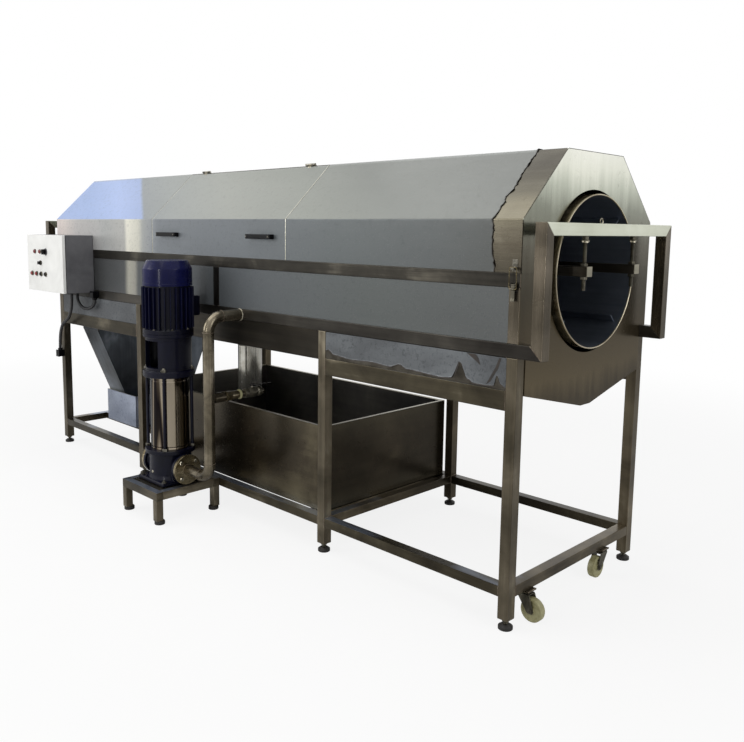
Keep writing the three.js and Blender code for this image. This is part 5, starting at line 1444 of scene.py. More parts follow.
class FoldedFace:
    """The outer face of a folded sheet that runs along X."""

    def __init__(self, line: Sequence[Flat], bend: float) -> None:
        """Rounds the folds and measures the line."""
        self.points = [Vector(p) for p in rounded_line(line, bend, 6)]
        self.normals = [normal.normalized() for normal in corner_normals(self.points)]
        self.runs = [0.0]
        for a, b in zip(self.points, self.points[1:]):
            self.runs.append(self.runs[-1] + (b - a).length)

    def __call__(self, x: float, run: float) -> tuple[Vector, Vector]:
        """The point and the outward direction at a place along X and a length up the line."""
        run = min(max(run, 0.0), self.runs[-1])
        i = next((k for k in range(len(self.runs) - 1) if run <= self.runs[k + 1]), len(self.runs) - 2)
        share = (run - self.runs[i]) / max(self.runs[i + 1] - self.runs[i], 1e-6)
        at = self.points[i].lerp(self.points[i + 1], share)
        out = self.normals[i].lerp(self.normals[i + 1], share).normalized()
        return Vector((x, *at)), Vector((0.0, *out))


@dataclass
class Panels:
    """The two front panels and the two skirts, under film that is torn on the near skirt."""

    y: Span = (3.0, 6.0)
    panels: tuple[tuple[str, Span], ...] = (("near", (-1929.7, -50.3)), ("far", (-3839.7, -1980.3)))
    skirts: tuple[tuple[str, Span], ...] = (("near", (-1069.7, -50.3)), ("far", (-3839.7, -2820.3)))
    panel_z: Span = (DECK_TOP, 1362.7)
    skirt_z: Span = (966.3, 1093.0)
    tears: tuple[Flat, ...] = ((-1069.7, 1002.0), (-1052.0, 1008.0), (-1010.0, 988.0), (-900.0, 979.0),
                               (-760.0, 984.0), (-660.0, 978.0), (-597.0, 996.0), (-560.0, 981.0), (-360.0, 972.0),
                               (-318.0, 978.0), (-272.0, 1048.0), (-232.0, 984.0), (-200.0, 971.0), (-140.0, 971.0),
                               (-108.0, 974.0), (-92.0, 1018.0), (-74.0, 986.0), (-50.3, 973.0))
    flaps: tuple[tuple[Flat, ...], ...] = (
        ((-240.0, 1091.0), (-206.0, 1072.0), (-172.0, 1050.0), (-182.0, 1078.0), (-196.0, 1091.0)),
        ((-84.0, 1089.0), (-100.0, 1050.0), (-142.0, 978.0), (-122.0, 992.0), (-88.0, 1046.0), (-74.0, 1089.0)),
        ((-300.0, 984.0), (-286.0, 1014.0), (-273.0, 1050.0), (-279.0, 1052.0), (-294.0, 1018.0)))

    def tear(self, x: float) -> float:
        """The height of the near skirt film's torn lower edge."""
        for a, b in zip(self.tears, self.tears[1:]):
            if x <= b[0]:
                share = (x - a[0]) / (b[0] - a[0])
                return a[1] + (b[1] - a[1]) * share * share * (3 - 2 * share) + 2.2 * rippled(x / 9.0, 3.0)
        return self.tears[-1][1]

    def add_film(self, stock: Stock, x: Span, z: Span, torn: bool) -> None:
        """Lays a thin film on the sheet's face."""

        def height(share: float, at: float) -> float:
            """The film stands off more near a torn edge."""
            place = x[0] + (x[1] - x[0]) * at
            curl = max(0.0, share - 0.93) / 0.07
            calm = 0.10 + 0.10 * abs(rippled(place / 60.0, share * 3.0, 1.0))
            return calm + (1.9 * curl * curl * (1 + rippled(place / 30.0, 0, 5)) if torn else 0.0)

        def reach(share: float, place: float) -> float:
            """From the top edge down to the torn one."""
            low = self.tear(place) if torn else z[0] + 0.3
            return z[1] - 0.3 + (low - z[1] + 0.3) * share

        # The torn edge's last strip takes the dark torn-film finish, partly painted shadow under the curled lip.
        SheetField(stock, lambda u, v: (Vector((v, self.y[0], u)), Vector((0, -1, 0)))).build(
            reach, spread((x[0] + 0.4, x[1] - 0.4), 240 if torn else 60), 30, height,
            slot_of=lambda s, t: 1 if torn and s > 0.965 else 0)

    def build(self) -> None:
        """Makes the panels, the skirts and their film."""
        for name, x in self.panels:
            stock = Stock(f"casing_panel_{name}", 81)
            stock.bar(x, self.y, self.panel_z, 0.8)
            stock.finish([Look.PANEL], "film_sheet", f"front_panel_{name}")
        for name, x in self.skirts:
            stock = Stock(f"skirt_sheet_{name}", 82)
            stock.bar(x, self.y, self.skirt_z, 0.8)
            stock.finish([Look.GLUE], "film_sheet", f"front_skirt_{name}")
            film = Stock(f"skirt_film_{name}", 83)
            self.add_film(film, x, self.skirt_z, name == "near")
            film.finish([Look.SKIRT, Look.TORN], "film_sheet")
        flap = Stock("skirt_torn_flap", 84)
        for outline in self.flaps:
            flap.prism(outline, Y, (1.7, 2.3), X)
        flap.finish([Look.TORN], "film_sheet")


@dataclass
class Trough:
    """The trough under the drum, its discharge chute, its drain pipe and the catch box below."""

    line: tuple[Flat, ...] = ((50.3, 1094.7), *TROUGH_LINE, (989.7, 1094.7))
    x: Span = (-3890.0, 0.0)
    sheet: float = 3.0
    chute_x: Span = (-3641.0, -3427.0)
    chute_line: tuple[Flat, ...] = ((50.3, 945.0), (50.3, 860.0), (283.0, 300.0))
    drain: Flat = (-2336.0, 520.0)
    drain_radius: float = 75.0
    drain_z: Span = (560.0, 848.0)
    box: tuple[Span, Span, Span] = ((-3660.0, -3260.0), (230.0, 810.0), (178.3, 400.0))

    def build(self) -> None:
        """Makes the trough with what is welded to it, and the box."""
        stock = Stock("wash_trough", 91)
        stock.sheet(self.line, self.x, self.sheet, 8.0)
        mirrored = [(WIDTH - y, z) for y, z in self.chute_line][::-1]
        face = [*self.chute_line, (757.0, 300.0), (989.7, 860.0), *TROUGH_LINE[:0:-1]]
        low, high = self.chute_x
        for span in ((low, low + 3), (high - 3, high)):
            stock.prism(face, X, span, Z, slot=1)
        for line in (self.chute_line, mirrored):
            stock.sheet(line, self.chute_x, self.sheet, 8.0, Y, slot=1)
        radius = self.drain_radius
        stock.disc(radius, self.drain_z, self.drain, Z, 64, 0, radius - 3, slot=2)
        stock.finish([Look.TROUGH, Look.CHUTE, Look.DRAIN], "sheet_steel", "trough")
        welds = Welds()
        welds.ring((*self.drain, 846.0), Z, radius + 0.5)
        for x in self.chute_x:
            welds.run((x, 52, 944), (x, 470, 847))
            welds.run((x, 50.5, 943), (x, 50.5, 862))
        welds.build("trough_welds", "sheet_steel", 0.0018)
        box = Stock("catch_box_sheets", 92)
        box.open_box(self.box)
        x, y = self.box[:2]
        for span in ((y[0], y[0] + 12), (y[1] - 12, y[1])):
            box.bar(x, span, (397, 400), 1.0, slot=1)
        for span in ((x[0], x[0] + 12), (x[1] - 12, x[1])):
            box.bar(span, (y[0] + 12, y[1] - 12), (397, 400), 1.0, slot=1)
        box.finish([Look.BOX_FILM, Look.TANK_LIP], "sheet_steel", "catch_box")


@dataclass
class Hood:
    """The hinged hood in three sheet sections, with film that is torn near the mouth."""

    line: tuple[Flat, ...] = ((0.0, 1418.3), (0.0, 1620.0), (293.0, 1900.0), (747.0, 1900.0), (WIDTH, 1620.0),
                              (WIDTH, 1418.3))
    sheet: float = 2.5
    x: Span = (-3893.3, 3.3)
    seams: tuple[float, float] = (-1359.0, -2608.0)
    bend: float = 9.0
    tear_x: float = -124.0
    flap_run: float = 330.0
    flap_half: float = 34.0
    door_hinges: tuple[float, ...] = (-1509.0, -2458.0)
    door_hinge: Flat = (293.0, 1907.0)
    door_run: float = 600.0

    def face(self) -> FoldedFace:
        """The hood's outer face."""
        return FoldedFace(self.line, self.bend)

    def tear(self, run: float) -> float:
        """The place of the film's torn edge at a length up the face."""
        flap = max(0.0, 1.0 - abs(run - self.flap_run) / self.flap_half)
        return (self.tear_x + 12 * rippled(run / 90.0, 1.5) + 4 * rippled(run / 11.0, 8.5)
                - 7 * abs(rippled(run / 31.0, 4.5, 2.0)) - 12 * flap)

    def add_film(self, stock: Stock, x: Span, runs: Span, torn: bool) -> None:
        """Lays film on a section, with small wrinkles and a curled torn edge."""

        def along(share: float, run: float) -> float:
            """A place along X, with more steps near the torn edge."""
            end = self.tear(run) if torn else x[1]
            return x[0] + (end - x[0]) * (1 - (1 - share) ** 2.4 if torn else share)

        def height(share: float, at: float) -> float:
            """Small waves everywhere, and a lip that curls off the steel."""
            run = runs[0] + (runs[1] - runs[0]) * at
            place = along(share, run)
            wave = 0.12 + 0.16 * abs(rippled(place / 90.0, run / 35.0, 2.0))
            near = max(0.0, 1.0 - (along(1.0, run) - place) / 14.0)
            lip = 5.5 * near * near * max(0.15, 0.55 + rippled(run / 22.0, 0.0, 9.0))
            return wave + (lip if torn else 0.0)

        def look(share: float, at: float) -> int:
            """Band, slope or torn edge: the slope's lighter film paints the light from above; the torn edge's dark
            brown is partly painted shadow under the curled lip.
            """
            run = runs[0] + (runs[1] - runs[0]) * at
            if torn and along(1.0, run) - along(share, run) < 4.0:
                return 2
            return 0 if run < self.line[1][1] - self.line[0][1] else 1

        face = self.face()
        rows = {*spread(runs, 190 if torn else 60), *(run for run in face.runs if runs[0] < run < runs[1])}
        SheetField(stock, face).build(along, sorted(rows), 150 if torn else 40, height, slot_of=look)

    def add_keeper(self, stock: Stock) -> None:
        """Adds the latch's keeper with its four screws."""
        x = LATCH_X
        stock.bar(about(x, 12), (-2, 0.2), (1424, 1470), 1.0, slot=3)
        hook = [(0, 1437.7), (-17, 1437.7), (-17, 1439), (-20, 1439), (-20, 1431), (0, 1431)]
        stock.prism(rounded_line(hook, 1.5, 3, True), X, about(x, 9), slot=3)
        for z in (1452, 1463):
            for side in about(x, 7):
                stock.turned([(0, -4.0), (1.8, -3.8), (2.8, -3.0), (3, -1.9), (0, -1.9)], (side, z), Y, 14, 3)

    def add_hinges(self, stock: Stock) -> None:
        """Adds the fixed halves of the door's hinges and the moving halves of the hood's."""
        for place in self.door_hinges:
            for x in about(place, 25.3):
                stock.disc(6, about(x, 12.5), self.door_hinge, X, 24, 0.6, slot=3)
                stock.bar(about(x, 12.5), (294, 303), (1899.9, 1903.5), 0.5, slot=3)
            stock.disc(3.2, about(place, 39), self.door_hinge, X, 16, 0.5, slot=3)
        for place in HOOD_HINGES_X:
            span = about(place, 15)
            stock.disc(9, span, HOOD_HINGE, X, 28, 0.8, 5.4, 3)
            stock.bar(span, (1040, 1044), (1421, 1448), 0.8, slot=3)
            stock.bar(span, (1043, 1051), (1424, 1428), 0.8, slot=3)

    def build(self) -> None:
        """Makes the sections, ribs, ends, hinges, keeper and film."""
        stock = Stock("hood_sheets", 71)
        outer = list(self.line)[::-1]
        near, far = self.seams
        for span in ((near + 0.5, self.x[1]), (self.x[0], far - 0.5)):
            stock.sheet(outer, span, self.sheet, self.bend)
        stock.sheet([*outer[:3], (293.5, 1900.0)], (far + 0.5, near - 0.5), self.sheet, self.bend)
        for seam in self.seams:
            stock.sheet(offset_line(outer, 2.8), about(seam, 20.0), 3.0, 6.0, Y, slot=2)
        start = math.degrees(math.asin((self.line[0][1] - DRUM_AXIS[1]) / MOUTH_RADIUS))
        outline = [*self.line, *arc(DRUM_AXIS, MOUTH_RADIUS, start, 180 - start, 96)]
        for span in ((0.4, self.x[1] - 0.1), (self.x[0] + 0.1, self.x[0] + 2.9)):
            stock.prism(outline, X, span, Z, slot=1)
        self.add_keeper(stock)
        self.add_hinges(stock)
        stock.finish([Look.BARE, Look.END, Look.RAIL, Look.BOLT], "film_sheet", "hood_shell", body="hood")
        top = self.face().runs[-1] - 1.0
        for name, seed, x, low in (("near", 72, (near + 1.2, 0.0), 1.0), ("far", 73, (self.x[0] + 1.0, far - 1.2), 1.0),
                                   ("middle", 74, (far + 1.2, near - 1.2), self.door_run + 22.0)):
            film = Stock(f"hood_film_{name}", seed)
            torn = name == "near"
            self.add_film(film, x, (low, top), torn)
            film.finish([Look.BAND, Look.SLOPE, Look.TORN][:3 if torn else 2], "film_sheet", body="hood")


@dataclass
class HoodDoor:
    """The door in the hood's middle section, with its two bow handles."""

    hood: Hood
    x: Span = (-2607.0, -1360.0)
    edge_y: float = 292.0
    handles: tuple[tuple[str, float], ...] = (("near", -1551.0), ("far", -2416.0))
    length: float = 200.0
    handle_z: Span = (1520.0, 1544.0)
    reach: float = 34.0
    bar: float = 12.0
    foot: float = 22.0

    def build_handle(self, name: str, x: float) -> None:
        """Makes one handle with its two screws."""
        left, right = about(x, self.length / 2)
        feet = (left + self.foot, right - self.foot)
        outer = [(left, -0.3), (left, -self.reach), (right, -self.reach), (right, -0.3)]
        inner = [(feet[1], -0.3), (feet[1], self.bar - self.reach), (feet[0], self.bar - self.reach), (feet[0], -0.3)]
        bow = Stock(f"bow_handle_{name}", 77)
        bow.prism(rounded_line(outer, 12, 6) + rounded_line(inner, 5), Z, self.handle_z, X, edge=2.4, steps=3)
        for side in (left + self.foot / 2, right - self.foot / 2):
            bow.disc(4.5, (-34.1, -32.0), (side, 1532), Y, 20, 0.6, slot=1)
        bow.finish([Look.BLACK, Look.BOLT], "black_plastic", f"door_handle_{name}", body="hood_door", crease=40)

    def build(self) -> None:
        """Makes the door, its film and its handles."""
        hood = self.hood
        stock = Stock("door_sheet", 75)
        stock.sheet([(self.edge_y, 1899.0), hood.line[1], hood.line[0]], self.x, hood.sheet, hood.bend)
        for place in hood.door_hinges:
            span = about(place, 12.5)
            stock.disc(6, span, hood.door_hinge, X, 24, 0.6, 3.7, 1)
            stock.prism([(283, 1890.6), (291.5, 1898.8), (292, 1903.5), (283, 1893.9)], X, span, slot=1)
        stock.finish([Look.BARE, Look.POLISHED], "film_sheet", "hood_door", body="hood_door")
        film = Stock("door_film", 76)
        low, high = self.x
        hood.add_film(film, (low + 5.0, high - 5.0), (1.0, hood.door_run), False)
        face = hood.face()
        # Narrow near-white strips along the door's edges: painted highlight.
        for span in ((low + 0.6, low + 4.8), (high - 4.8, high - 0.6)):
            SheetField(film, face).build(lambda share, run, x=span: x[0] + (x[1] - x[0]) * share,
                                         [1.0, *face.runs[1:8], hood.door_run], 2, lambda share, at: 0.15, slot=2)
        film.finish([Look.BAND, Look.SLOPE, Look.TRIM], "film_sheet", body="hood_door")
        for handle in self.handles:
            self.build_handle(*handle)


@dataclass
class Latch:
    """The toggle latch: a lever on the near post and a wire bail."""

    bail_pivot: Flat = (-14.0, 1358.0)
    half: float = 8.5
    bail_half: float = 16.0
    bail_top: float = 1440.0

    def build(self) -> None:
        """Makes the lever and the bail."""
        lever = Stock("toggle_lever", 78)
        span = about(LATCH_X, self.half)
        lever.prism(rounded_line([(-9, 1373), (-13, 1373), (-13, 1324), (-15.6, 1312), (-12.0, 1312), (-9, 1322)],
                                 2.0, 3, True), X, span, Z, edge=0.8)
        lever.disc(5, span, LATCH_PIVOT, X, 24, 0.6, 3.0)
        lever.disc(4.5, span, self.bail_pivot, X, 24, 0.6, 2.5)
        lever.finish([Look.ZINC], "polished_steel", "latch_lever", body="latch_lever")
        bail = Stock("wire_bail", 79)
        left, right = about(LATCH_X, self.bail_half)
        low, high = self.bail_pivot[1], self.bail_top
        loop = rounded_line([(left, low), (right, low), (right, high), (left, high)], 7, 5, True)
        bail.swept([Vector((x, self.bail_pivot[0], z)) for x, z in [*loop, loop[0]]], 2.0, 12)
        bail.finish([Look.FLANGE], "polished_steel", "latch_bail", body="latch_bail")


@dataclass
class Drum:
    """The drum with its tyres and lifters, the roller shafts and the gearmotor."""

    radius: float = 320.0
    wall: float = 4.0
    x: Span = (-3921.0, 31.0)
    rollers_x: tuple[float, ...] = (-330.0, -3560.0)
    shafts: tuple[tuple[str, float, Span], ...] = (("front", SHAFTS_Y[0], (-3740.0, -150.0)),
                                                   ("rear", SHAFTS_Y[1], (-4002.0, -150.0)))

    def build_drum(self) -> None:
        """Makes the drum."""
        stock = Stock("wash_drum", 101)
        r, x = self.radius, self.x
        inner = r - self.wall
        stock.turned([(inner, x[0]), (r, x[0]), (r, -20), (r, x[1] - 3), (inner, x[1] - 3)], DRUM_AXIS, X, 128)
        stock.turned([(inner - 0.3, x[1] - 6), (inner - 0.3, x[1] - 1), (inner + 0.8, x[1]), (r - 0.8, x[1]),
                      (r + 0.3, x[1] - 1), (r + 0.3, x[1] - 6)], DRUM_AXIS, X, 128, 1)
        for place in self.rollers_x:
            stock.disc(r + 8, about(place, 25), DRUM_AXIS, X, 128, 1.0, r - 0.5, 2)
        for i in range(4):
            turn = math.pi / 4 + math.pi / 2 * i
            out, side = Vector((math.cos(turn), math.sin(turn))), Vector((-math.sin(turn), math.cos(turn)))
            flat = [out * reach + side * wide for reach, wide in ((inner + 0.1, -3), (inner + 0.1, 3),
                                                                 (inner - 42, 3), (inner - 42, -3))]
            stock.eight([Vector((along, DRUM_AXIS[0] + p.x, DRUM_AXIS[1] + p.y)) for along in (-3890.0, 0.0)
                         for p in flat], 1.2, X)
        centre = Vector((0, *DRUM_AXIS))
        # Painted light and shade on the drum's outer face: the darker guard steel inside the plate, where the hood
        # shades it, and the brighter flange steel where it stands out past the plate into the light. The profile's ring
        # at x -20 marks where they meet.
        for slot, low, high in ((2, x[0] - 1, -20), (3, -20, x[1] - 6)):
            stock.recolour(slot, lambda at, n: abs(n.x) < 0.3 and n.dot(at - centre) > r * 0.9 and low < at.x < high)
        stock.finish([Look.DRUM, Look.DRUM_RIM, Look.GUARD, Look.FLANGE], "sheet_steel", "drum", body="drum")

    def build_rollers(self) -> None:
        """Makes both roller shafts."""
        for name, y, span in self.shafts:
            stock = Stock(f"rollers_{name}", 102)
            stock.disc(20, span, (y, SHAFT_Z), X, 40, 1.5)
            half = [(19, -30), (26, -30), (28, -24), (52, -24), (57, -30), (60, -27)]
            for place in self.rollers_x:
                profile = [(radius, place + at) for radius, at in half]
                profile += [(radius, place - at) for radius, at in half[::-1]]
                stock.turned(profile, (y, SHAFT_Z), X, 64, 1)
            stock.finish([Look.ZINC, Look.RUBBER], "frame_steel", f"roller_shaft_{name}", body=f"roller_{name}")

    def build_gearmotor(self) -> None:
        """Makes the gearmotor on the rear shaft."""
        x, y, z = -3959.6, SHAFTS_Y[1], SHAFT_Z
        stock = Stock("gear_case", 103)
        stock.turned([(21, -3925), (54, -3925.6), (58, -3921), (58, -3893.8), (21, -3893.8)], (y, z), X)
        stock.bar((-3993.4, -3925.8), about(y, 60), about(z, 60), 9.0, Z, steps=3)
        stock.turned([(0, 1102), (50, 1102), (50, 1092), (44, 1086), (44, 930), (49, 926), (50, 920), (50, 896),
                      (46, 890.6), (0, 890.6)], (x, y))
        stock.finish([Look.CAST], "pump_paint", "gearmotor")
        fin_pattern().run("gearmotor_fins", [row(x, y, 932)], Look.FINS, "pump_paint", Count=20, Radius=0.0455,
                          Depth=0.008, Thickness=0.003, Height=0.152)
        places = [row(-3993.4, a, b) for a in about(y, 46) for b in about(z, 46)]
        bolt_pattern().run("gearmotor_bolts", places, Look.BOLT, "pump_paint", Radius=0.005, Height=0.004,
                           Turn=(0.0, -math.pi / 2, 0.0))

    def build(self) -> None:
        """Makes the drum and its drive."""
        self.build_drum()
        self.build_rollers()
        self.build_gearmotor()


@dataclass
class SprayRack:
    """Two square water tubes with their header, adjusting nuts and nozzles."""

    x: Span = (HOOPS[1][1], HOOPS[0][1])
    z: Span = (1400.0, 1440.0)
    header_x: float = -3990.0
    rods_x: tuple[float, ...] = tuple((outer + inner) / 2 for _, outer, inner in HOOPS)

    def build(self) -> None:
        """Makes the rack, its nozzles and the wing nuts under the hoops' bars."""
        stock = Stock("spray_tubes", 111)
        for y in RODS_Y:
            stock.bar((self.x[0] + 2, self.x[1] - 2), about(y, 20), self.z, 3.0)
            for x in (self.x[0] + 1.2, self.x[1] - 1.2):
                stock.bar(about(x, 1.2), about(y, 20), self.z, 0.8, Y, slot=1)
            for x in self.rods_x:
                for span in ((1388, 1399.8), (1440.2, 1452)):
                    stock.disc(15, span, (x, y), Z, 6, 1.0, 8.3, 2)
        stock.bar(about(self.header_x, 20), (RODS_Y[0] + 20.2, RODS_Y[1] - 20.2), self.z, 3.0)
        stock.finish([Look.TROUGH, Look.TANK_LIP, Look.ZINC], "sheet_steel", "spray_rack", body="spray")
        places = [row(-392.1 * (i + 0.5), y, 1400) for y in RODS_Y for i in range(10)]
        bolt_pattern().run("spray_nozzles", places, Look.FLANGE, "sheet_steel", "spray", Radius=0.007, Height=0.006,
                           Turn=(math.pi, 0.0, 0.0))
        nuts = Stock("hanger_wing_nuts", 112)
        for y in RODS_Y:
            for x in self.rods_x:
                nuts.turned([(8, 1533), (13, 1533), (11, 1541), (8, 1541)], (x, y), sides=24)
                for side in (-1, 1):
                    wing = [(9, 1533.5), (26, 1534), (28, 1541), (17, 1543), (8, 1540)]
                    wing = rounded_line([(y + side * out, z) for out, z in wing], 3, 4, True)
                    nuts.prism(wing, X, about(x, 2.2), Y, edge=0.7)
        nuts.finish([Look.POLISHED], "galvanised_steel")


class Pump:
    """The upright multistage pump on its stand."""

    def build_stand(self) -> None:
        """Makes the stand."""
        stock = Stock("pump_stand_tubes", 121)
        z = (133.0, 177.9)
        for y in ((-400.0, -360.0), (-40.3, -0.3)):
            stock.bar((-2300, -1940), y, z, 2.5)
        for x in ((-2300.0, -2260.0), (-1980.0, -1940.0)):
            stock.bar(x, (-360, -40.3), z, 2.5)
        # The stand's top plate takes the darker tank steel: painted shade under the pump's base.
        stock.bar((-2261, -1979), (-361, -39.5), (170, 178), 1.0, X, slot=2)
        for x in (-2280.0, -1960.0):
            for y, foot_y in ((-380.0, -372.0), (-20.3, -28.3)):
                stock.bar(about(x, 19.8), about(y, 19.8), (19, 133.2), 2.5)
                stock.turned([(0, 0), (26, 0), (28, 2), (28, 6), (27, 7), (28, 8), (28, 16), (25, 20), (0, 20)],
                             (x, foot_y), sides=40, slot=1)
        stock.finish([Look.FRAME, Look.RUBBER, Look.TANK], "frame_steel", "pump_stand")
        welds = Welds()
        for x in (-2260.0, -1980.0):
            for y in (-396.6, -360.0):
                welds.run((x, y, 136), (x, y, 176))
        welds.build("pump_stand_welds")

    def build_base(self) -> None:
        """Makes the base with its two flanged ports."""
        x, y = PUMP_AXIS
        stock = Stock("pump_base_casting", 122)
        stock.bar(about(x, 130), about(y, 130), (178.3, 200.3), 7.0, X, steps=3)
        stock.turned([(0, 198), (122, 198), (120, 202), (119, 208), (115, 217), (114, 225), (114, 334), (116, 340),
                      (120, 343), (134, 343), (136, 345), (136, 363), (134, 365), (0, 365)], (x, y), sides=72)
        for side in (-1, 1):
            port = [(0, 0), (60, 0), (60, 116), (63, 128), (68, 137), (80.5, 137), (82.5, 139), (82.5, 153),
                    (80.5, 155), (0, 155)]
            stock.turned([(r, x + side * along) for r, along in port], (y, PORT_Z), X, 64)
            web = [(x + side * 96, 200), (x + side * 128, 200), (x + side * 104, 236), (x + side * 96, 262)]
            for place in about(y, 58):
                stock.prism(web, Y, about(place, 5), Z, edge=1.5)
        stock.disc(9, (y - 116, y - 96), (x, 240), Y, 6, slot=1)
        stock.finish([Look.CAST, Look.POLISHED], "pump_paint", "pump_base")
        feet = [row(a, b, 200.3) for a in about(x, 112) for b in about(y, 112)]
        bolt_pattern().run("pump_foot_bolts", feet, Look.BOLT, "galvanised_steel", Radius=0.011, Height=0.009)

    def build_sleeve(self) -> None:
        """Makes the polished sleeve with its beads."""
        stock = Stock("pump_sleeve_tube", 123)
        profile: list[Flat] = [(0, 365.3), (105, 365.3)]
        for z in (378.0, 746.0):
            profile += [(105, z - 6), (103.4, z - 3), (102.8, z), (103.4, z + 3), (105, z + 6)]
        stock.turned([*profile, (105, 767), (0, 767)], PUMP_AXIS, sides=128)
        stock.finish([Look.SLEEVE], "polished_steel", "pump_sleeve")

    def build_head(self) -> None:
        """Makes the head with its lantern and staybolts, and the coupling inside."""
        stock = Stock("pump_head_casting", 124)
        for profile in ([(0, 767.3), (138, 767.3), (140, 770), (140, 797), (138, 800), (126, 800), (124, 803),
                         (124, 818), (100, 818), (100, 806), (0, 806)],
                        [(100, 966), (124, 966), (124, 980), (127, 984), (134, 984), (136, 986), (136, 1000),
                         (134, 1002), (100, 1002)]):
            stock.turned(profile, PUMP_AXIS, sides=72)
        inner = math.degrees(math.acos(62 / 100))
        for turn in (0.0, 180.0):
            wall = arc(PUMP_AXIS, 124, turn - 60, turn + 60, 24)
            wall += arc(PUMP_AXIS, 100, turn + inner, turn - inner, 20)
            stock.prism(wall, Z, (817, 967), edge=2.0)
        for at in arc(PUMP_AXIS, 122, 45, 315, 3):
            stock.disc(8.8, (365.4, 780), at, Z, 20, 0.4)
            stock.turned(thread_profile(9.0, 1.0, (367, 412), 2.5), at, sides=20)
            for low, high in ((365.6, 380), (800.2, 815)):
                stock.turned([(0, low), (15, low), (16, low + 1.2), (16, high - 1.5), (14.5, high), (0, high)], at,
                             sides=6, slot=1)
            stock.disc(8.6, (800, 822), at, Z, 20, slot=1)
        stock.finish([Look.CAST, Look.BOLT], "pump_paint", "pump_head")
        rotor = Stock("pump_coupling", 125)
        rotor.disc(14, (802, 1001.7), PUMP_AXIS, Z, 32, 0.5)
        rotor.turned([(13, 860), (38, 860), (40, 862), (40, 892), (38.5, 893), (38.5, 897), (40, 898), (40, 928),
                      (38, 930), (13, 930)], PUMP_AXIS, slot=1)
        for turn in (20, 160, 200, 340):
            at = arc(PUMP_AXIS, 37, turn, turn, 1)[0]
            for z in (874, 916):
                rotor.disc(4.5, about(z, 5), at, Z, 16, 0)
        rotor.finish([Look.POLISHED, Look.ZINC], "polished_steel", "pump_shaft", body="pump_rotor")

    def build_motor(self) -> None:
        """Makes the motor with its fins and terminal box, and the fan cowl."""
        x, y = PUMP_AXIS
        stock = Stock("pump_motor_body", 126)
        stock.turned([(0, 1002.3), (134, 1002.3), (136, 1004), (136, 1024), (134, 1026.3), (127, 1027), (122, 1032),
                      (122, 1261), (0, 1261)], PUMP_AXIS, sides=72)
        stock.bar(about(x, 52), (y + 118, y + 168), (1090, 1200), 5.0, steps=3)
        stock.bar(about(x, 50), (y + 166, y + 172), (1092, 1198))
        stock.finish([Look.CAST], "pump_paint", "pump_motor")
        fin_pattern().run("pump_motor_fins", [row(x, y, 1032)], Look.FINS, "pump_paint", Count=28, Radius=0.1305,
                          Depth=0.019, Thickness=0.0042, Height=0.222)
        places = [row(*at, 1026.0) for at in arc(PUMP_AXIS, 125, 22.5, 337.5, 7)]
        bolt_pattern().run("motor_flange_bolts", places, Look.BOLT, "pump_paint", Radius=0.0075, Height=0.006)
        cowl = Stock("motor_fan_cowl", 127)
        profile: list[Flat] = [(132, 1261.3), (132, 1274), (131, 1275.5), (132, 1277), (132, 1350), (131, 1355),
                               (111.5, 1394), (108, 1396.8)]
        for radius in range(96, 30, -12):
            profile += [(radius, 1397), (radius - 1.5, 1394.5), (radius - 5.5, 1394.5), (radius - 7, 1397)]
        cowl.turned([(0, 1262), (129, 1261.3), *profile, (20, 1397), (0, 1397)], PUMP_AXIS, sides=96)
        cowl.finish([Look.PUMP], "pump_paint", "fan_cowl")

    def build(self) -> None:
        """Makes the pump from the stand up."""
        self.build_stand()
        self.build_base()
        self.build_sleeve()
        self.build_head()
        self.build_motor()


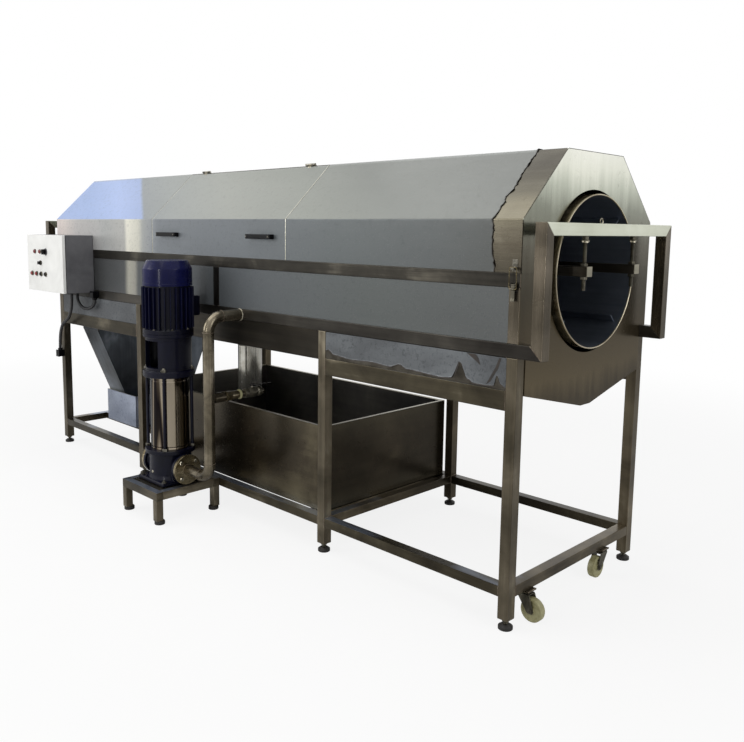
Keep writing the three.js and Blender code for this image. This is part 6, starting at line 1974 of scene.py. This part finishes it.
@dataclass
class Pipework:
    """The discharge pipe with its branch and valve."""

    radius: float = 30.15
    bend: float = 80.0
    corners: tuple[Point, ...] = ((-1964.7, PUMP_AXIS[1], PORT_Z), (-1740.0, PUMP_AXIS[1], PORT_Z),
                                  (-1740.0, PUMP_AXIS[1], 1118.0), (-1740.0, -0.3, 1118.0))
    branch_z: float = 690.0
    valve_y: float = 80.0

    def add_flange(self, stock: Stock) -> None:
        """Adds the flange at the pump with its four bolts."""
        x, *at = self.corners[0]
        stock.disc(82.5, (x, x + 18), at, X, 64, 2.0, slot=1)
        low = x + 18
        for place in arc(at, 62.5, 45, 315, 3):
            stock.turned([(0, low), (11, low), (12.5, low + 1), (12.5, low + 10), (11, low + 12), (0, low + 12)],
                         place, X, 6, 2)

    def add_branch(self, stock: Stock, x: float) -> None:
        """Adds the branch pipe with its unions and the valve's body."""
        y, z = self.valve_y, self.branch_z
        stock.disc(17, (-200, 150), (x, z), Y, 32)
        for sides, slot, profile in (
                (32, 0, [(16, -172), (26, -172), (27, -166), (27, -112), (25, -106), (16, -106)]),
                (6, 1, [(16, -98), (27, -98), (28, -96), (28, -66), (27, -64), (16, -64)]),
                (32, 1, [(16, -64), (23, -64), (23, -20), (16, -20)]),
                (32, 3, [(16, -12), (25, -12), (26, -10), (26, -4), (25, -2), (16, -2)]),
                (40, 4, [(16, y - 54), (25, y - 54), (26, y - 52), (26, y - 32), (21, y - 28), (27, y - 14), (28, y),
                         (27, y + 14), (21, y + 28), (26, y + 32), (26, y + 52), (25, y + 54), (16, y + 54)])):
            stock.turned(profile, (x, z), Y, sides, slot)
        stock.disc(6, (690, 724), (x, y), Z, 20, 0.5, slot=2)
        stock.turned([(0, 704), (11, 704), (12, 705), (12, 714), (0, 714)], (x, y), Z, 6, 1)

    def build(self) -> None:
        """Makes the pipe, the valve and its lever."""
        stock = Stock("discharge_tube", 131)
        stock.swept(bent_route(self.corners, self.bend, 14), self.radius, 48, grain=Z)
        self.add_flange(stock)
        stock.turned([(29, -5), (32.5, -5), (34, -3.5), (34, -0.4), (29, -0.4)], (-1740, 1118), Y, slot=2)
        x, y, low = self.corners[1]
        self.add_branch(stock, x)
        stock.finish([Look.PIPE, Look.FLANGE, Look.POLISHED, Look.NYLON, Look.ZINC], "sheet_steel", "discharge_pipe")
        welds = Welds()
        high = self.corners[2][2]
        for place, axis in (((x, y, low + self.bend), Z), ((x, y, high - self.bend), Z), ((x - self.bend, y, low), X),
                            ((-1946.0, y, low), X), ((x, y + self.bend, high), Y)):
            welds.ring(place, axis, self.radius + 0.2)
        welds.build("pipe_welds", "sheet_steel", 0.0016)
        lever = Stock("valve_handle", 132)
        y = self.valve_y
        lever.disc(13, (724.3, 732.3), (x, y), Z, 32, 1.5)
        line = [(x - 9, y), (x - 9, y + 118), (x - 6, y + 130), (x + 6, y + 130), (x + 9, y + 118), (x + 9, y)]
        lever.prism(rounded_line(line, 4, 4, True), Z, (724.3, 728.3), Y, edge=0.8)
        lever.finish([Look.BLACK], "red_plastic", "valve_lever", body="valve")


@dataclass
class Tank:
    """The water tank and its suction pipe."""

    box: tuple[Span, Span, Span] = ((-2760.0, -1130.0), (53.0, 987.0), (178.3, 612.0))
    sheet: float = 3.0
    lip: float = 20.0
    suction: tuple[Point, ...] = ((-2275.3, PUMP_AXIS[1], PORT_Z), (-2365.3, PUMP_AXIS[1], PORT_Z),
                                  (-2365.3, 54.0, PORT_Z))

    def build_flange(self) -> None:
        """Makes the suction flange with its four bolts."""
        flange = Stock("suction_flange", 142)
        flange.turned([(0, -2293.3), (80.5, -2293.3), (82.5, -2291), (82.5, -2277.5), (80.5, -2275.3), (0, -2275.3)],
                      (PUMP_AXIS[1], PORT_Z), X, 64)
        for at in arc((PUMP_AXIS[1], PORT_Z), 62.5, 45, 315, 3):
            flange.turned([(0, -2305.3), (11, -2305.3), (12.5, -2304), (12.5, -2294.5), (11, -2293.2), (0, -2293.2)],
                          at, X, 6, 1)
        flange.finish([Look.FLANGE, Look.POLISHED], "sheet_steel")

    def build(self) -> None:
        """Makes the tank and the pipe."""
        stock = Stock("water_tank_sheets", 141)
        x, y, z = self.box
        stock.open_box(self.box)
        top = (z[1] - self.sheet, z[1])
        # Inside faces get the inside copy of the steel, painted light and shade.
        stock.recolour(1, self.inside)
        for span in ((y[0], y[0] + self.lip), (y[1] - self.lip, y[1])):
            stock.bar(x, span, (top[0], top[1] + 0.02), 1.2, slot=2)
        for span in ((x[0], x[0] + self.lip), (x[1] - self.lip, x[1])):
            stock.bar(span, (y[0] + self.lip, y[1] - self.lip), top, 1.2, slot=2)
        stock.swept(bent_route(self.suction, 70.0, 12), 38.0, 40, slot=3)
        self.build_flange()
        stock.finish([Look.TANK, Look.TANK_INSIDE, Look.TANK_LIP, Look.PIPE], "sheet_steel", "water_tank")

    def inside(self, at: Vector, normal: Vector) -> bool:
        """Whether a face looks into the tank."""
        x, y, z = self.box
        middle = Vector((sum(x) / 2, sum(y) / 2, z[1]))
        within = all(low + 2.5 < value < high - 2.5 for value, (low, high) in zip(at, (x, y)))
        return within and normal.dot(middle - at) > 0 and z[0] + 2 < at.z < z[1] - 1


@dataclass
class Cabinet:
    """The control cabinet with its door, lamps, knobs and buttons."""

    x: Span = (-3900.0, -3360.0)
    y: Span = (-190.0, -0.3)
    z: Span = (1132.0, 1512.0)
    door_y: Span = (-215.0, -190.3)
    hinge: Flat = (-3907.0, -190.0)
    hinge_rows: tuple[float, ...] = (1192.0, 1452.0)
    lamps: tuple[Flat, ...] = ((-3775.0, 1399.0), (-3697.0, 1399.0))
    main: Flat = (-3608.0, 1399.0)
    selector: Flat = (-3690.0, 1323.0)
    buttons: tuple[float, ...] = (-3825.0, -3755.0, -3685.0, -3615.0)
    button_z: float = 1248.0
    glands: tuple[Flat, ...] = ((-3500.0, -55.0), (-3575.0, -60.0))

    def add_bezel(self, stock: Stock, at: Flat, radius: float, proud: float, slot: int) -> None:
        """Adds a ring on the door's face."""
        face = self.door_y[0]
        stock.turned([(radius - 4, face - proud), (radius - 1.5, face - proud), (radius, face - proud + 1.5),
                      (radius, face + 0.5), (radius - 4, face + 0.5)], at, Y, 40, slot)

    def build_box(self) -> None:
        """Makes the shell with its bracket, glands and knuckles."""
        stock = Stock("cabinet_shell", 151)
        stock.open_box((self.x, self.y, self.z), (Y, 0), 1.4)
        stock.bar(about(-3800, 25), (-160, -0.3), (1126, 1132), 1.5, slot=1)
        for at in self.glands:
            stock.disc(15, (1118, 1132), at, Z, 24, 1.5, slot=1)
            stock.disc(17, (1120, 1127), at, Z, 6, 0, slot=1)
        for z in self.hinge_rows:
            stock.disc(6, (z - 25, z - 0.3), self.hinge, Z, 24, 0.6, slot=2)
            stock.bar((self.hinge[0] + 1, self.x[0] + 0.5), (-189, -186), (z - 25, z - 1), 0.5, slot=2)
        stock.finish([Look.CABINET, Look.BLACK, Look.ZINC], "cabinet_paint", "cabinet_box")

    def build_door(self) -> None:
        """Makes the door with its lamps, plates and bezels."""
        stock = Stock("cabinet_door_leaf", 152)
        face = self.door_y[0]
        stock.bar(self.x, (face, face + 21.5), self.z, 3.0, steps=3)
        stock.bar((self.x[0] + 8, self.x[1] - 8), (face + 20, self.door_y[1] - 0.1), (self.z[0] + 8, self.z[1] - 8),
                  0.8, slot=1)
        for at in self.lamps:
            self.add_bezel(stock, at, 15.5, 5.0, 2)
            stock.turned([(0, face - 13), (6, face - 12.6), (10.5, face - 10.6), (12.6, face - 7), (13, face - 4),
                          (13, face + 0.5), (0, face + 0.5)], at, Y, 40, 3)
        self.add_bezel(stock, self.main, 24.0, 4.0, 1)
        stock.disc(23, (face - 3.6, face), self.main, Y, 48, 0.6, slot=1)
        for at in (self.selector, *((x, self.button_z) for x in self.buttons)):
            self.add_bezel(stock, at, 16.0, 8.0, 2)
        for z in self.hinge_rows:
            stock.disc(6, (z + 0.3, z + 25), self.hinge, Z, 24, 0.6, slot=2)
            stock.bar((self.hinge[0] + 1, self.x[0] + 0.5), (-194, -191), (z + 1, z + 25), 0.5, slot=2)
        stock.finish([Look.DOOR, Look.CABINET, Look.ZINC, Look.LENS], "cabinet_paint", "cabinet_door",
                     body="cabinet_door")

    def build_controls(self) -> None:
        """Makes the buttons and both knobs."""
        for i, x in enumerate(self.buttons, 1):
            stock = Stock(f"button_cap_{i}", 153)
            stock.turned([(0, -228.2), (7, -228.2), (9.6, -229), (10.8, -227.6), (10.8, -205), (0, -205)],
                         (x, self.button_z), Y, 40)
            look, slot = (Look.RED, "red_plastic") if i < 3 else (Look.BLACK, "black_plastic")
            stock.finish([look], slot, f"push_button_{i}", body=f"button_{i}")
        for body, at, radius, back, front, reach, half in (
                ("selector", self.selector, 10.8, -205.0, -229.0, -239.0, 5.0),
                ("main_switch", self.main, 18.0, -219.3, -227.0, -245.0, 6.0)):
            name = f"{body}_knob"
            stock = Stock(f"{name}_moulding", 154)
            stock.turned([(0, front), (radius - 1.5, front), (radius, front + 1.5), (radius, back), (0, back)], at, Y)
            stock.bar(about(at[0], half), (reach, front + 1), about(at[1], radius - 0.4), steps=3)
            stock.bar(about(at[0], 0.8), (reach, reach + 0.6), (at[1] + 2, at[1] + radius - 2), 0.2, slot=1)
            stock.finish([Look.BLACK, Look.NYLON], "black_plastic", name, body=body)

    def build(self) -> None:
        """Makes the whole cabinet."""
        self.build_box()
        self.build_door()
        self.build_controls()


def write_size(low_high: tuple[Sequence[float], Sequence[float]], done: bool, kept: dict[str, object]) -> None:
    """Args:
        low_high: lowest and highest corner.
        done: whether the machine is dressed.
        kept: what was kept before, which is added to.
    """
    kept["dressed" if done else "frame"] = [list(map(float, corner)) for corner in low_high]


def main() -> None:
    """Dresses the machine from the outside in."""
    logging.basicConfig(level=logging.INFO, format="%(name)s %(message)s")
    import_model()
    sizes: dict[str, object] = {}
    write_size(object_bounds(), False, sizes)
    hood = Hood()
    for group in (Studio(), Conduits(), LegFrame(), Feet(), Casters(), Deck(), Guards(), Casing(), Panels(),
                  Trough(), hood, HoodDoor(hood), Latch(), Drum(), SprayRack(), Pump(), Pipework(), Tank(), Cabinet()):
        group.build()
    write_size(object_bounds(), True, sizes)


if __name__ == "__main__":
    main()
